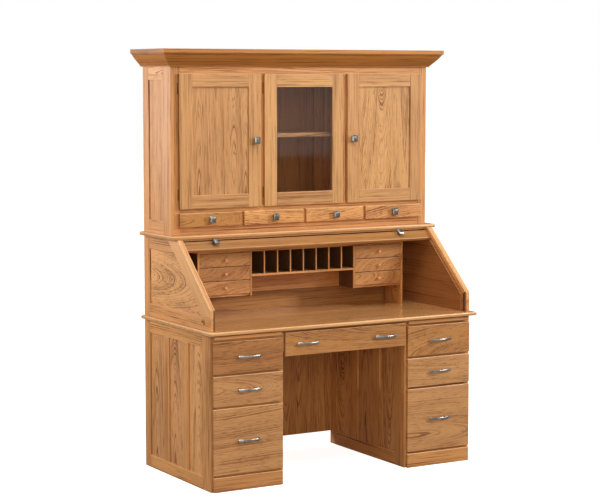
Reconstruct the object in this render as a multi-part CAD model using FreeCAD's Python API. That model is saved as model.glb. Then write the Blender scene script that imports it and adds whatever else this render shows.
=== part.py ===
import FreeCAD, Part
import math
import os

from FreeCAD import Vector

# A roll-top desk with a hutch, in oak. Two drawer pedestals carry the desk top. On it stands the roll
# section: slanted sides, a pigeonhole organizer and a slatted curtain with a lift rail. A three-door hutch
# with a crown moulding stands on the ledge above.
# Millimetres. +X is to the right of someone facing the desk, -Y is towards them and +Z is up. The origin
# is on the floor, under the middle of the desk. A depth is a distance forward from the rear plane.

# Whole desk
BASE_WIDTH = 1473.0
BASE_DEPTH = 709.0            # rear plane to the front of the pedestals' face frames
DESK_HEIGHT = 762.0
ROLL_HEIGHT = 400.0           # desk top to the underside of the ledge
HUTCH_DEPTH = 307.0           # rear plane to the front of the hutch's face frame
HUTCH_HEIGHT = 811.5          # top of the ledge to the bottom of the crown

# Stock
FRAME_THICK = 19.0            # stiles and rails
PANEL_THICK = 6.0             # flat panels in the frames
BACK_THICK = 6.0
DECK_THICK = 16.0             # decks, partitions and shelves of the cases
STILE = 62.0
RAIL = 64.0
SEAT = 0.3                    # running gap between a moving piece and its seat
SLIDE_CLEAR = 1.0             # side gap of a drawer box or writing board in its opening

# Desk top and ledge
DESK_TOP_THICK = 18.0
DESK_TOP_SIDE_OVERHANG = 21.0
DESK_TOP_FRONT_OVERHANG = 41.0
LEDGE_THICK = 17.5
LEDGE_FRONT = 59.0            # ledge left showing before the hutch
LEDGE_SIDE_OVERHANG = 26.5
LEDGE_RAIL_SETBACK = 14.0     # strip under the ledge, behind its front
LEDGE_RAIL_THICK = 12.0
LEDGE_RAIL_HEIGHT = 9.0
NOSE_ROUND = 6.0

# Pedestals
PEDESTAL_WIDTH = 390.0
SIDE_BAYS = 3
FACE_STILE = 28.0
FRONT_THICK = 19.0            # drawer fronts, plinth boards and the lips of the writing boards
FRONT_REVEAL = 9.0            # face frame left showing beside a drawer front
FRONT_GAP = 9.0               # between one drawer front and the next
FRONT_LAP = 8.0               # how far a front laps over the rails round its opening
TOP_FRONT_HEIGHT = 153.0
MIDDLE_FRONT_HEIGHT = 145.0
PLINTH_HEIGHT = 71.0
WRITING_BOARD_THICK = 17.0
WRITING_BOARD_DROP = 5.5      # desk top to the writing board
WRITING_BACK_ROOM = 273.0     # behind the writing board
WRITING_LIP_INSET = 4.0       # the lip is this much shorter than a drawer front at each end
FLOOR_THICK = 12.0
RUNNER_LAP = 2.0              # runner past the side of the box that it carries
RUNNER_HEIGHT = 15.0

# Drawer boxes
BOX_SIDE = 12.0
BOX_BOTTOM = 6.0
BOX_BOTTOM_RISE = 6.0         # groove height of the bottom above the box's lower edge
BOX_HEADROOM = 4.0
PEDESTAL_BACK_ROOM = 103.0    # behind a closed drawer's box
CENTRE_BACK_ROOM = 217.0
HUTCH_BACK_ROOM = 39.0

# Kneehole
CENTRE_FRONT_HEIGHT = 115.0
CENTRE_FRONT_DROP = 11.5
CENTRE_FRONT_GAP = 3.5        # between the centre drawer's front and the pedestals
CENTRE_BOX_RISE = 23.0        # the box's lower edge above the lower edge of its front
MODESTY_THICK = 12.0
MODESTY_CLEAR = 69.0          # floor to the lower edge of the modesty panel

# Bar pulls and square knobs
PULL_CENTRES = 96.0
PULL_OVERRUN = 15.0           # bar past each post
PULL_REACH = 26.0
PULL_RISE = 12.0              # how far the bar arches away from its ends
PULL_BAR = 7.0
PULL_HEIGHT = 14.0
PULL_POST_RADIUS = 4.5
CENTRE_PULL_INSET = 122.0     # end of the centre drawer's front to a pull's middle
KNOB_SIZE = 34.0
KNOB_HEAD = 10.0
KNOB_FACET = 9.0              # width of the four facets round the knob's face
KNOB_BEVEL = 4.0              # depth of the facets
KNOB_STEM = 13.0
KNOB_STEM_RADIUS = 6.0

# Roll section
ROLL_TOP_SHOW = 11.0          # top of the slanted edge ahead of the ledge
ROLL_FOOT_SETBACK = 39.0      # front edge of the sides behind the desk top's
ROLL_LIP_HEIGHT = 100.0       # upright front edge below the slant
SLANT_STILE = 76.0
TRACK_BOARD = 8.0             # inner boards that form the curtain's grooves
TRACK_LIP = 20.0              # strip between the groove and the slanted edge
TRACK_GROOVE = 16.0
INNER_BACK_DEPTH = 85.0
INNER_BACK_DROP = 92.0        # organizer's top to the top of the inner back

# Curtain
CURTAIN_INSET = 38.0          # slanted edge to the canvas on the curtain's inner side
CURTAIN_STORE_DROP = 25.0     # ledge down to the canvas of the stored curtain
CURTAIN_CLEAR = 0.5           # end gap to the track boards
CURTAIN_REAR_CLEAR = 1.5      # hanging slats to the back panel
CANVAS_THICK = 1.0
SLAT_THICK = 8.0
SLAT_PITCH = 21.0
SLAT_GAP = 0.5
SLAT_BEVEL = 2.5
LEAF_GAP = 0.3                # on each side of a fold line
LIFT_RAIL_WIDTH = 57.0
LIFT_RAIL_THICK = 19.0
LIFT_RAIL_BEVEL = 3.0
LIFT_KNOB_INSET = 176.0       # rail's end to the knob's centre
LIFT_KNOB_DROP = 19.0         # rail's upper edge to the knob's centre

# Lock in the left side
LOCK_SETBACK = 67.0           # behind the front edge of the side
LOCK_HEIGHT = 39.0            # above the desk top
LOCK_BARREL_RADIUS = 8.0
LOCK_FLANGE_RADIUS = 13.0
LOCK_FLANGE = 5.0
LOCK_PLUG_RADIUS = 5.0
LOCK_PLUG_CLEAR = 0.06
KEY_SLOT_WIDTH = 1.6
KEY_SLOT_HEIGHT = 7.0
KEY_SLOT_DEPTH = 6.0

# Organizer
ORGANIZER_SETBACK = 67.0      # behind the top of the slanted edge
ORGANIZER_DEPTH = 148.0
ORGANIZER_DROP = 45.0         # stored curtain to the top of the organizer
BOOK_SLOT = 113.5             # clear width beside the organizer
ORGANIZER_BOARD = 10.0
ORGANIZER_DIVIDER = 6.0
STACK_WIDTH = 280.0           # clear width of a stack of small drawers
STACK_CLEAR = 102.0           # desk top to the underside of the stacks
PIGEONHOLE_HEIGHT = 113.0
PIGEONHOLES = 8
STACK_DRAWERS = 3
SMALL_FRONT_THICK = 10.0
SMALL_FRONT_GAP = 2.4
SMALL_BOX_SIDE = 7.0
SMALL_BOX_BOTTOM = 4.0
SMALL_KNOB_RADIUS = 8.0
SMALL_KNOB_STEM_RADIUS = 4.5
SMALL_KNOB_STEM = 8.0
SMALL_KNOB_HEAD = 9.0

# Hutch
HUTCH_SIDE_REVEAL = 39.0      # face frame left showing beside the doors
CENTRE_DOOR_WIDTH = 460.0
DOOR_GAP = 19.5
DOOR_THICK = 18.5
DOOR_TOP_REVEAL = 34.0        # crown down to the doors
DOOR_STILE = 70.0
DOOR_RAIL = 66.0
GLASS_THICK = 4.0
DOOR_DRAWER_GAP = 20.0
HUTCH_FOOT_REVEAL = 37.5      # ledge to the small drawers' fronts
HUTCH_FRONT_HEIGHT = 68.0
HUTCH_FRONT_GAP = 14.0
HUTCH_LAP = 10.0              # doors and fronts over the face frame
HUTCH_DRAWERS = 4
SHELF_HEIGHT = 347.0          # cabinet floor to the top of the shelf
SHELF_SETBACK = 26.0          # shelf's front behind the face frame
SHELF_THICK = 20.0
HINGE_RADIUS = 3.0
HINGE_HEIGHT = 55.0
HINGE_INSET = 70.0            # door's end to the hinge
KNOB_INSET = 32.0             # door's edge to its knob

# Crown
CROWN_HEIGHT = 85.0
CROWN_PROJECTION = 66.0
CROWN_FOOT = 12.0             # projection of the moulding's lower edge
CROWN_BAND = 17.0             # upright band at the top
CROWN_STAND = 10.0            # crown above the top of the hutch's sides

# Places that follow from the sizes
HALF = BASE_WIDTH / 2
SIDE_IN = HALF - FRAME_THICK
KNEE = HALF - PEDESTAL_WIDTH
FRAME_BACK = BASE_DEPTH - FRAME_THICK
FRONT_FACE = BASE_DEPTH + SEAT + FRONT_THICK
REACH = max(FRONT_FACE + PULL_REACH, BASE_DEPTH + DESK_TOP_FRONT_OVERHANG)
REAR = REACH / 2
TOP_UNDER = DESK_HEIGHT - DESK_TOP_THICK
LEDGE_DEPTH = HUTCH_DEPTH + LEDGE_FRONT
LEDGE_UNDER = DESK_HEIGHT + ROLL_HEIGHT
LEDGE_TOP = LEDGE_UNDER + LEDGE_THICK
CROWN_BOTTOM = LEDGE_TOP + HUTCH_HEIGHT
CASE_TOP = CROWN_BOTTOM + CROWN_HEIGHT - CROWN_STAND
TRACK_IN = SIDE_IN - TRACK_BOARD
ROLL_TOP_DEPTH = LEDGE_DEPTH + ROLL_TOP_SHOW
ROLL_FOOT_DEPTH = BASE_DEPTH + DESK_TOP_FRONT_OVERHANG - ROLL_FOOT_SETBACK
SIDES = {"left": -1, "right": 1}

WRITING_TOP = TOP_UNDER - WRITING_BOARD_DROP
WRITING_UNDER = WRITING_TOP - WRITING_BOARD_THICK
TOP_FRONT_TOP = WRITING_UNDER - FRONT_GAP
MIDDLE_FRONT_TOP = TOP_FRONT_TOP - TOP_FRONT_HEIGHT - FRONT_GAP
BOTTOM_FRONT_TOP = MIDDLE_FRONT_TOP - MIDDLE_FRONT_HEIGHT - FRONT_GAP
# name, bottom and top of each drawer front of a pedestal
PEDESTAL_FRONTS = [
    ("top", TOP_FRONT_TOP - TOP_FRONT_HEIGHT, TOP_FRONT_TOP),
    ("middle", MIDDLE_FRONT_TOP - MIDDLE_FRONT_HEIGHT, MIDDLE_FRONT_TOP),
    ("bottom", PLINTH_HEIGHT + FRONT_GAP, BOTTOM_FRONT_TOP),
]


def y_at(depth):
    """The Y of a depth forward of the rear plane."""
    return REAR - depth


def board(x0, x1, d0, d1, z0, z1):
    """A square-edged board between two X, two depths and two heights."""
    low, high = sorted((x0, x1))
    return Part.makeBox(high - low, d1 - d0, z1 - z0, Vector(low, y_at(d1), z0))


def prism(outline, x0, x1):
    """A closed outline of (depth, height) points carried across from x0 to x1."""
    low, high = sorted((x0, x1))
    points = [Vector(low, y_at(d), z) for d, z in outline]
    face = Part.Face(Part.makePolygon(points + points[:1]))
    return face.extrude(Vector(high - low, 0, 0))


def rod(start, direction, radius, length):
    """A round rod from a point along a direction."""
    return Part.makeCylinder(radius, length, start, direction)


def rounded_front(solid, radius):
    """Rounds the long front and end edges of a top board, all but those at its rear."""
    box = solid.BoundBox
    edges = []
    for edge in solid.Edges:
        middle = edge.CenterOfMass
        upright = abs(edge.Vertexes[0].Z - edge.Vertexes[1].Z) > radius
        rear = abs(middle.y - box.YMax) < SEAT
        if not upright and not rear:
            edges.append(edge)
    return solid.makeFillet(radius, edges)


def framed_side(x0, x1, d0, d1, z0, z1, bays, top_rail):
    """Stiles, rails and muntins in the depth-height plane, with a flat panel in each bay."""
    inner_low = z0 + RAIL
    inner_high = z1 - top_rail
    solids = [board(x0, x1, d0, d0 + STILE, z0, z1)]
    solids.append(board(x0, x1, d1 - STILE, d1, z0, z1))
    solids.append(board(x0, x1, d0 + STILE, d1 - STILE, z0, inner_low))
    solids.append(board(x0, x1, d0 + STILE, d1 - STILE, inner_high, z1))
    middle = (x0 + x1) / 2
    panel = (middle - PANEL_THICK / 2, middle + PANEL_THICK / 2)
    pitch = (d1 - d0 - STILE) / bays
    for bay in range(bays):
        start = d0 + bay * pitch + STILE
        end = d0 + (bay + 1) * pitch
        solids.append(board(*panel, start, end, inner_low, inner_high))
        if bay:
            solids.append(board(x0, x1, start - STILE, start, inner_low, inner_high))
    return solids


def drawer(opening, front, face, length, side=BOX_SIDE, bottom=BOX_BOTTOM, front_thick=FRONT_THICK):
    """A drawer: its front, two sides, back and bottom.

    opening is the clear (x0, x1, z0, z1) that the box runs in, front the front board's own (x0, x1, z0, z1)
    and face the depth of the plane that the front closes on.
    """
    x0, x1, z0, z1 = opening
    seat = face + SEAT
    left = x0 + SLIDE_CLEAR
    right = x1 - SLIDE_CLEAR
    low = z0 + SEAT
    high = z1 - BOX_HEADROOM
    back = seat - length
    bottom_low = low + BOX_BOTTOM_RISE
    return [
        board(front[0], front[1], seat, seat + front_thick, front[2], front[3]),
        board(left, left + side, back, seat, low, high),
        board(right - side, right, back, seat, low, high),
        board(left + side, right - side, back, back + side, low, high),
        board(left + side, right - side, back + side, seat, bottom_low, bottom_low + bottom),
    ]


def bar_pull(x, face, z):
    """An arched bar on two posts, standing out from a drawer front at depth face."""
    half = PULL_CENTRES / 2 + PULL_OVERRUN
    inner = face + PULL_REACH - PULL_BAR
    low = z - PULL_HEIGHT / 2

    def bow(depth):
        ends = [Vector(x + s * half, y_at(depth - PULL_RISE), low) for s in (-1, 1)]
        return Part.Arc(ends[0], Vector(x, y_at(depth), low), ends[1]).toShape(), ends

    near, near_ends = bow(inner)
    far, far_ends = bow(inner + PULL_BAR)
    closing = [Part.makeLine(near_ends[i], far_ends[i]) for i in (0, 1)]
    outline = Part.Wire(Part.__sortEdges__([near, far] + closing))
    pull = Part.Face(outline).extrude(Vector(0, 0, PULL_HEIGHT))
    for s in (-1, 1):
        start = Vector(x + s * PULL_CENTRES / 2, y_at(face), z)
        pull = pull.fuse(rod(start, Vector(0, -1, 0), PULL_POST_RADIUS, PULL_REACH - PULL_BAR))
    return pull.removeSplitter()


def square_knob(foot, outward, across):
    """A bevelled square head on a round stem. outward is the way it stands out, across runs along X."""
    up = outward.cross(across)
    stem = rod(foot, outward, KNOB_STEM_RADIUS, KNOB_STEM)
    half = KNOB_SIZE / 2

    def square(distance, size):
        middle = foot + outward * distance
        signs = ((-1, -1), (1, -1), (1, 1), (-1, 1))
        corners = [middle + across * (a * size) + up * (b * size) for a, b in signs]
        return Part.makePolygon(corners + corners[:1])

    tip = KNOB_STEM + KNOB_HEAD
    body = Part.makeLoft([square(KNOB_STEM, half), square(tip - KNOB_BEVEL, half)], True, True)
    bevel = Part.makeLoft([square(tip - KNOB_BEVEL, half), square(tip, half - KNOB_FACET)], True, True)
    return stem.fuse(body).fuse(bevel).removeSplitter()


def face_knob(x, face, z):
    """A square knob standing straight out of an upright face at depth face."""
    return square_knob(Vector(x, y_at(face), z), Vector(0, -1, 0), Vector(1, 0, 0))


def save(node, solids):
    """Writes one sub-part, as its separate solids."""
    Part.makeCompound(solids).exportStep(os.path.join("parts", node + ".step"))


os.makedirs("parts", exist_ok=True)

# Pedestals: framed sides, a face frame with a plinth board, floors, and rails to run the drawers on
face_frames = []
floors = []
runners = []
backs = []


def pedestal_opening(side, z0, z1):
    """The clear opening in a face frame between two rail heights."""
    ends = sorted((side * (HALF - FACE_STILE), side * (KNEE + FACE_STILE)))
    return ends[0], ends[1], z0, z1


def pedestal_front(side, z0, z1):
    """A front board's span on a pedestal."""
    ends = sorted((side * (HALF - FRONT_REVEAL), side * (KNEE + FRONT_REVEAL)))
    return ends[0], ends[1], z0, z1


def pedestal_runners(side, top):
    """The pair of rails on which a box or board slides, fixed to the two sides of a pedestal."""
    reach = FACE_STILE + SLIDE_CLEAR + BOX_SIDE + RUNNER_LAP
    span = (BACK_THICK, FRAME_BACK, top - RUNNER_HEIGHT, top)
    return [
        board(side * SIDE_IN, side * (HALF - reach), *span),
        board(side * (KNEE + FRAME_THICK), side * (KNEE + reach), *span),
    ]


OPENINGS = {}
for name, low, high in PEDESTAL_FRONTS:
    OPENINGS[name] = (low + FRONT_LAP, high - FRONT_LAP)
WRITING_RAIL_TOP = WRITING_UNDER - SEAT

for word, side in SIDES.items():
    side_span = (0, FRAME_BACK, 0, TOP_UNDER)
    outer = framed_side(side * HALF, side * SIDE_IN, *side_span, SIDE_BAYS, RAIL)
    inner = framed_side(side * KNEE, side * (KNEE + FRAME_THICK), *side_span, SIDE_BAYS, RAIL)
    save(word + "_pedestal_sides", outer + inner)

    for edge, way in ((HALF, -1), (KNEE, 1)):
        ends = (side * edge, side * (edge + way * FACE_STILE))
        face_frames.append(board(*ends, FRAME_BACK, BASE_DEPTH, 0, TOP_UNDER))
    rail_spans = [
        (OPENINGS["top"][1], WRITING_RAIL_TOP),
        (OPENINGS["middle"][1], OPENINGS["top"][0]),
        (OPENINGS["bottom"][1], OPENINGS["middle"][0]),
        (0, OPENINGS["bottom"][0]),
    ]
    for low, high in rail_spans:
        x0, x1, z0, z1 = pedestal_opening(side, low, high)
        face_frames.append(board(x0, x1, FRAME_BACK, BASE_DEPTH, z0, z1))
    x0, x1, z0, z1 = pedestal_front(side, 0, PLINTH_HEIGHT)
    face_frames.append(board(x0, x1, BASE_DEPTH, FRONT_FACE, z0, z1))

    floor_top = OPENINGS["bottom"][0]
    inside = (side * SIDE_IN, side * (KNEE + FRAME_THICK))
    floors.append(board(*inside, BACK_THICK, FRAME_BACK, floor_top - FLOOR_THICK, floor_top))
    backs.append(board(*inside, 0, BACK_THICK, 0, TOP_UNDER))
    for top in (OPENINGS["top"][0], OPENINGS["middle"][0], WRITING_RAIL_TOP):
        runners += pedestal_runners(side, top)

    for name, low, high in PEDESTAL_FRONTS:
        opening = pedestal_opening(side, *OPENINGS[name])
        front = pedestal_front(side, low, high)
        node = word + "_" + name + "_drawer"
        save(node, drawer(opening, front, BASE_DEPTH, BASE_DEPTH - BACK_THICK - PEDESTAL_BACK_ROOM))
        save(node + "_pull", [bar_pull((front[0] + front[1]) / 2, FRONT_FACE, (low + high) / 2)])

    # Pull-out writing board above the drawers: a flat board with a wider lip along its front
    x0, x1, z0, z1 = pedestal_opening(side, WRITING_UNDER, WRITING_TOP)
    seat = BASE_DEPTH + SEAT
    leaf = board(x0 + SLIDE_CLEAR, x1 - SLIDE_CLEAR, BACK_THICK + WRITING_BACK_ROOM, seat, z0, z1)
    x0, x1, z0, z1 = pedestal_front(side, WRITING_UNDER, WRITING_TOP)
    lip = board(x0 + WRITING_LIP_INSET, x1 - WRITING_LIP_INSET, seat, FRONT_FACE, z0, z1)
    save(word + "_writing_board", [leaf, lip])

save("pedestal_floors", floors)

# Kneehole: a narrow rail under the desk top, the shallow centre drawer on its own pair of rails, and the modesty
# panel across the rear
centre_top = TOP_UNDER - CENTRE_FRONT_DROP
face_frames.append(board(-KNEE, KNEE, FRAME_BACK, BASE_DEPTH, centre_top, TOP_UNDER))
save("pedestal_face_frames", face_frames)
centre_low = centre_top - CENTRE_FRONT_HEIGHT
CENTRE_RAIL_TOP = centre_low + CENTRE_BOX_RISE
for side in SIDES.values():
    span = (MODESTY_THICK, FRAME_BACK, CENTRE_RAIL_TOP - RUNNER_HEIGHT, CENTRE_RAIL_TOP)
    runners.append(board(side * KNEE, side * (KNEE - SLIDE_CLEAR - BOX_SIDE - RUNNER_LAP), *span))
centre_opening = (-KNEE, KNEE, CENTRE_RAIL_TOP, centre_top)
centre_half = KNEE - CENTRE_FRONT_GAP
centre_front = (-centre_half, centre_half, centre_low, centre_top)
centre_length = BASE_DEPTH - MODESTY_THICK - CENTRE_BACK_ROOM
save("centre_drawer", drawer(centre_opening, centre_front, BASE_DEPTH, centre_length))
pull_height = (centre_low + centre_top) / 2
pull_x = centre_half - CENTRE_PULL_INSET
save("centre_drawer_pulls", [bar_pull(s * pull_x, FRONT_FACE, pull_height) for s in (-1, 1)])
save("modesty_panel", [board(-KNEE, KNEE, 0, MODESTY_THICK, MODESTY_CLEAR, TOP_UNDER)])

# Desk top, round-nosed at its front and ends
top_half = HALF + DESK_TOP_SIDE_OVERHANG
top = board(-top_half, top_half, 0, BASE_DEPTH + DESK_TOP_FRONT_OVERHANG, TOP_UNDER, DESK_HEIGHT)
save("desk_top", [rounded_front(top, min(NOSE_ROUND, DESK_TOP_THICK * 0.45))])

# Roll section: slanted sides with grooves for the curtain
SLOPE = math.atan2(ROLL_HEIGHT - ROLL_LIP_HEIGHT, ROLL_FOOT_DEPTH - ROLL_TOP_DEPTH)
DOWN_SLANT = (math.cos(SLOPE), -math.sin(SLOPE))
OFF_SLANT = (math.sin(SLOPE), math.cos(SLOPE))


def slant_at(height, inset):
    """The point at a height on the line that runs beside the slanted edge, an inset inside it."""
    return ROLL_TOP_DEPTH + (LEDGE_UNDER - height) / math.tan(SLOPE) - inset / math.sin(SLOPE), height


def knee_at(inset):
    """Where the lines an inset inside the slanted edge and the upright front edge meet."""
    depth = ROLL_FOOT_DEPTH - inset
    return depth, LEDGE_UNDER - (depth + inset / math.sin(SLOPE) - ROLL_TOP_DEPTH) * math.tan(SLOPE)


def roll_side(side):
    """One side: a frame with a slanted stile and a flat panel, and inside it the strips of the groove."""
    rail_top = DESK_HEIGHT + RAIL
    rail_low = LEDGE_UNDER - RAIL
    foot = ROLL_FOOT_DEPTH
    frame = (side * HALF, side * SIDE_IN)
    middle = side * (HALF + SIDE_IN) / 2
    panel = (middle - PANEL_THICK / 2, middle + PANEL_THICK / 2)
    track = (side * SIDE_IN, side * TRACK_IN)
    stile_top = slant_at(LEDGE_UNDER, SLANT_STILE)
    stile_rail = slant_at(rail_low, SLANT_STILE)
    stile_foot = slant_at(rail_top, SLANT_STILE)
    edge_top = slant_at(LEDGE_UNDER, 0)
    knee = knee_at(0)
    lip_top = slant_at(LEDGE_UNDER, TRACK_LIP)
    lip_knee = knee_at(TRACK_LIP)
    groove = TRACK_LIP + TRACK_GROOVE
    bottom_rail = board(*frame, STILE, foot, DESK_HEIGHT, rail_top)
    board_foot = (foot - groove, DESK_HEIGHT)
    board_top = slant_at(LEDGE_UNDER, groove)
    inner_board = prism([(0, DESK_HEIGHT), board_foot, knee_at(groove), board_top, (0, LEDGE_UNDER)], *track)
    return bottom_rail, inner_board, [
        board(*frame, 0, STILE, DESK_HEIGHT, LEDGE_UNDER),
        prism([stile_top, edge_top, knee, (foot, rail_top), stile_foot], *frame),
        prism([(STILE, LEDGE_UNDER), stile_top, stile_rail, (STILE, rail_low)], *frame),
        prism([(STILE, rail_low), stile_rail, stile_foot, (STILE, rail_top)], *panel),
        prism([lip_top, edge_top, knee, lip_knee], *track),
        prism([lip_knee, knee, (foot, DESK_HEIGHT), (foot - TRACK_LIP, DESK_HEIGHT)], *track),
    ]


# Key lock let into the left side: a flanged barrel with a turning plug
lock_z = DESK_HEIGHT + LOCK_HEIGHT
LOCK_DEPTH = ROLL_FOOT_DEPTH - LOCK_SETBACK
lock_end = Vector(-TRACK_IN, y_at(LOCK_DEPTH), lock_z)
lock_face = Vector(-HALF, y_at(LOCK_DEPTH), lock_z)
OUTWARD = Vector(-1, 0, 0)
barrel_length = HALF - TRACK_IN
plug_length = barrel_length + LOCK_FLANGE
barrel = rod(lock_end, OUTWARD, LOCK_BARREL_RADIUS, barrel_length)
barrel = barrel.fuse(rod(lock_face, OUTWARD, LOCK_FLANGE_RADIUS, LOCK_FLANGE))
barrel = barrel.cut(rod(lock_end, OUTWARD, LOCK_PLUG_RADIUS + LOCK_PLUG_CLEAR, plug_length))
plug = rod(lock_end, OUTWARD, LOCK_PLUG_RADIUS, plug_length)
slot_corner = lock_face + OUTWARD * LOCK_FLANGE + Vector(0, -KEY_SLOT_WIDTH / 2, -KEY_SLOT_HEIGHT / 2)
plug = plug.cut(Part.makeBox(KEY_SLOT_DEPTH, KEY_SLOT_WIDTH, KEY_SLOT_HEIGHT, slot_corner))
save("lock_barrel", [barrel.removeSplitter()])
save("lock_plug", [plug])

for word, side in SIDES.items():
    bottom_rail, inner_board, others = roll_side(side)
    if word == "left":
        hole = rod(lock_end, OUTWARD, LOCK_BARREL_RADIUS, barrel_length)
        bottom_rail = bottom_rail.cut(hole)
        inner_board = inner_board.cut(hole)
    save(word + "_roll_side", others + [bottom_rail, inner_board])

backs.append(board(-TRACK_IN, TRACK_IN, 0, BACK_THICK, DESK_HEIGHT, LEDGE_UNDER))
ledge_half = HALF + LEDGE_SIDE_OVERHANG
ledge = board(-ledge_half, ledge_half, 0, LEDGE_DEPTH, LEDGE_UNDER, LEDGE_TOP)
rail_front = LEDGE_DEPTH - LEDGE_RAIL_SETBACK
rail_span = (rail_front - LEDGE_RAIL_THICK, rail_front, LEDGE_UNDER - LEDGE_RAIL_HEIGHT, LEDGE_UNDER)
ledge_rail = board(-TRACK_IN, TRACK_IN, *rail_span)
save("ledge_board", [rounded_front(ledge, min(NOSE_ROUND, LEDGE_THICK * 0.45)), ledge_rail])

# Curtain: oak slats glued to canvas, drawn at rest as it is when open. It is stored flat under the ledge
# with its tail hanging behind, and the lift rail lies on the slant. It folds along three lines: between tail
# and curtain, between curtain and lower slat, and between lower slat and lift rail.
CANVAS_Z = LEDGE_UNDER - CURTAIN_STORE_DROP
CORNER = slant_at(CANVAS_Z, CURTAIN_INSET)
SHUT_KNEE = knee_at(CURTAIN_INSET)
curtain_thick = CANVAS_THICK + SLAT_THICK
TAIL_DEPTH = BACK_THICK + CURTAIN_REAR_CLEAR + curtain_thick
slant_length = math.dist(CORNER, SHUT_KNEE)
LOWER_LENGTH = SHUT_KNEE[1] - DESK_HEIGHT - SEAT - LIFT_RAIL_WIDTH
FRONT_FOLD = (CORNER[0] - LOWER_LENGTH, CANVAS_Z)
REAR_FOLD = (TAIL_DEPTH, CANVAS_Z)
MAIN_LENGTH = FRONT_FOLD[0] - REAR_FOLD[0]
TAIL_LENGTH = slant_length - MAIN_LENGTH
CURTAIN_SPAN = (-TRACK_IN + CURTAIN_CLEAR, TRACK_IN - CURTAIN_CLEAR)


def slats(origin, along, outward, length):
    """Slats side by side on canvas, from a point along one direction, with their faces turned outward."""
    def place(a, b):
        return origin[0] + a * along[0] + b * outward[0], origin[1] + a * along[1] + b * outward[1]

    start = LEAF_GAP
    end = length - LEAF_GAP
    canvas = [(start, 0), (end, 0), (end, CANVAS_THICK), (start, CANVAS_THICK)]
    solids = [prism([place(*p) for p in canvas], *CURTAIN_SPAN)]
    count = max(1, round((end - start) / SLAT_PITCH))
    pitch = (end - start) / count
    for k in range(count):
        a = start + k * pitch + SLAT_GAP / 2
        b = a + pitch - SLAT_GAP
        bevel = min(SLAT_BEVEL, (b - a) / 4)
        face = CANVAS_THICK + SLAT_THICK
        outline = [(a, CANVAS_THICK), (b, CANVAS_THICK), (b, face - bevel)]
        outline += [(b - bevel, face), (a + bevel, face), (a, face - bevel)]
        solids.append(prism([place(*p) for p in outline], *CURTAIN_SPAN))
    return solids


save("roll_curtain", slats(REAR_FOLD, (1, 0), (0, 1), MAIN_LENGTH))
save("roll_curtain_tail", slats(REAR_FOLD, (0, -1), (-1, 0), TAIL_LENGTH))
save("roll_curtain_lower_slat", slats(FRONT_FOLD, (1, 0), (0, 1), LOWER_LENGTH))


def on_rail(along, out):
    """A point of the lift rail's section, measured down the slant and out from its back."""
    depth = CORNER[0] + along * DOWN_SLANT[0] + out * OFF_SLANT[0]
    return depth, CORNER[1] + along * DOWN_SLANT[1] + out * OFF_SLANT[1]


rail_section = [
    (LEAF_GAP, 0), (LIFT_RAIL_WIDTH, 0), (LIFT_RAIL_WIDTH, LIFT_RAIL_THICK - LIFT_RAIL_BEVEL),
    (LIFT_RAIL_WIDTH - LIFT_RAIL_BEVEL, LIFT_RAIL_THICK), (LEAF_GAP + LIFT_RAIL_BEVEL, LIFT_RAIL_THICK),
    (LEAF_GAP, LIFT_RAIL_THICK - LIFT_RAIL_BEVEL),
]
save("lift_rail", [prism([on_rail(*p) for p in rail_section], *CURTAIN_SPAN)])
lift_foot = on_rail(LIFT_KNOB_DROP, LIFT_RAIL_THICK)
lift_out = Vector(0, -OFF_SLANT[0], OFF_SLANT[1])
lift_knobs = []
for x in (CURTAIN_SPAN[0] + LIFT_KNOB_INSET, CURTAIN_SPAN[1] - LIFT_KNOB_INSET):
    lift_knobs.append(square_knob(Vector(x, y_at(lift_foot[0]), lift_foot[1]), lift_out, Vector(1, 0, 0)))
save("lift_rail_knobs", lift_knobs)

# Organizer: a rack of pigeonholes between two stacks of small drawers, on two outer dividers that stand on
# the desk top, with an inner back panel behind
ORGANIZER_FRONT = ROLL_TOP_DEPTH - ORGANIZER_SETBACK
ORGANIZER_REAR = ORGANIZER_FRONT - ORGANIZER_DEPTH
ORGANIZER_HALF_WIDTH = TRACK_IN - BOOK_SLOT
organizer_top = CANVAS_Z - ORGANIZER_DROP
rack_top = organizer_top - ORGANIZER_BOARD
stack_outer = ORGANIZER_HALF_WIDTH - ORGANIZER_BOARD
stack_inner = stack_outer - STACK_WIDTH
rack_half = stack_inner - ORGANIZER_BOARD
stack_under = DESK_HEIGHT + STACK_CLEAR
stack_floor = stack_under + ORGANIZER_BOARD
shelf_top = rack_top - PIGEONHOLE_HEIGHT
rack_back = ORGANIZER_REAR + BACK_THICK
drawer_pitch = (rack_top - stack_floor) / STACK_DRAWERS
front_back = ORGANIZER_FRONT - SMALL_FRONT_THICK

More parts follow.
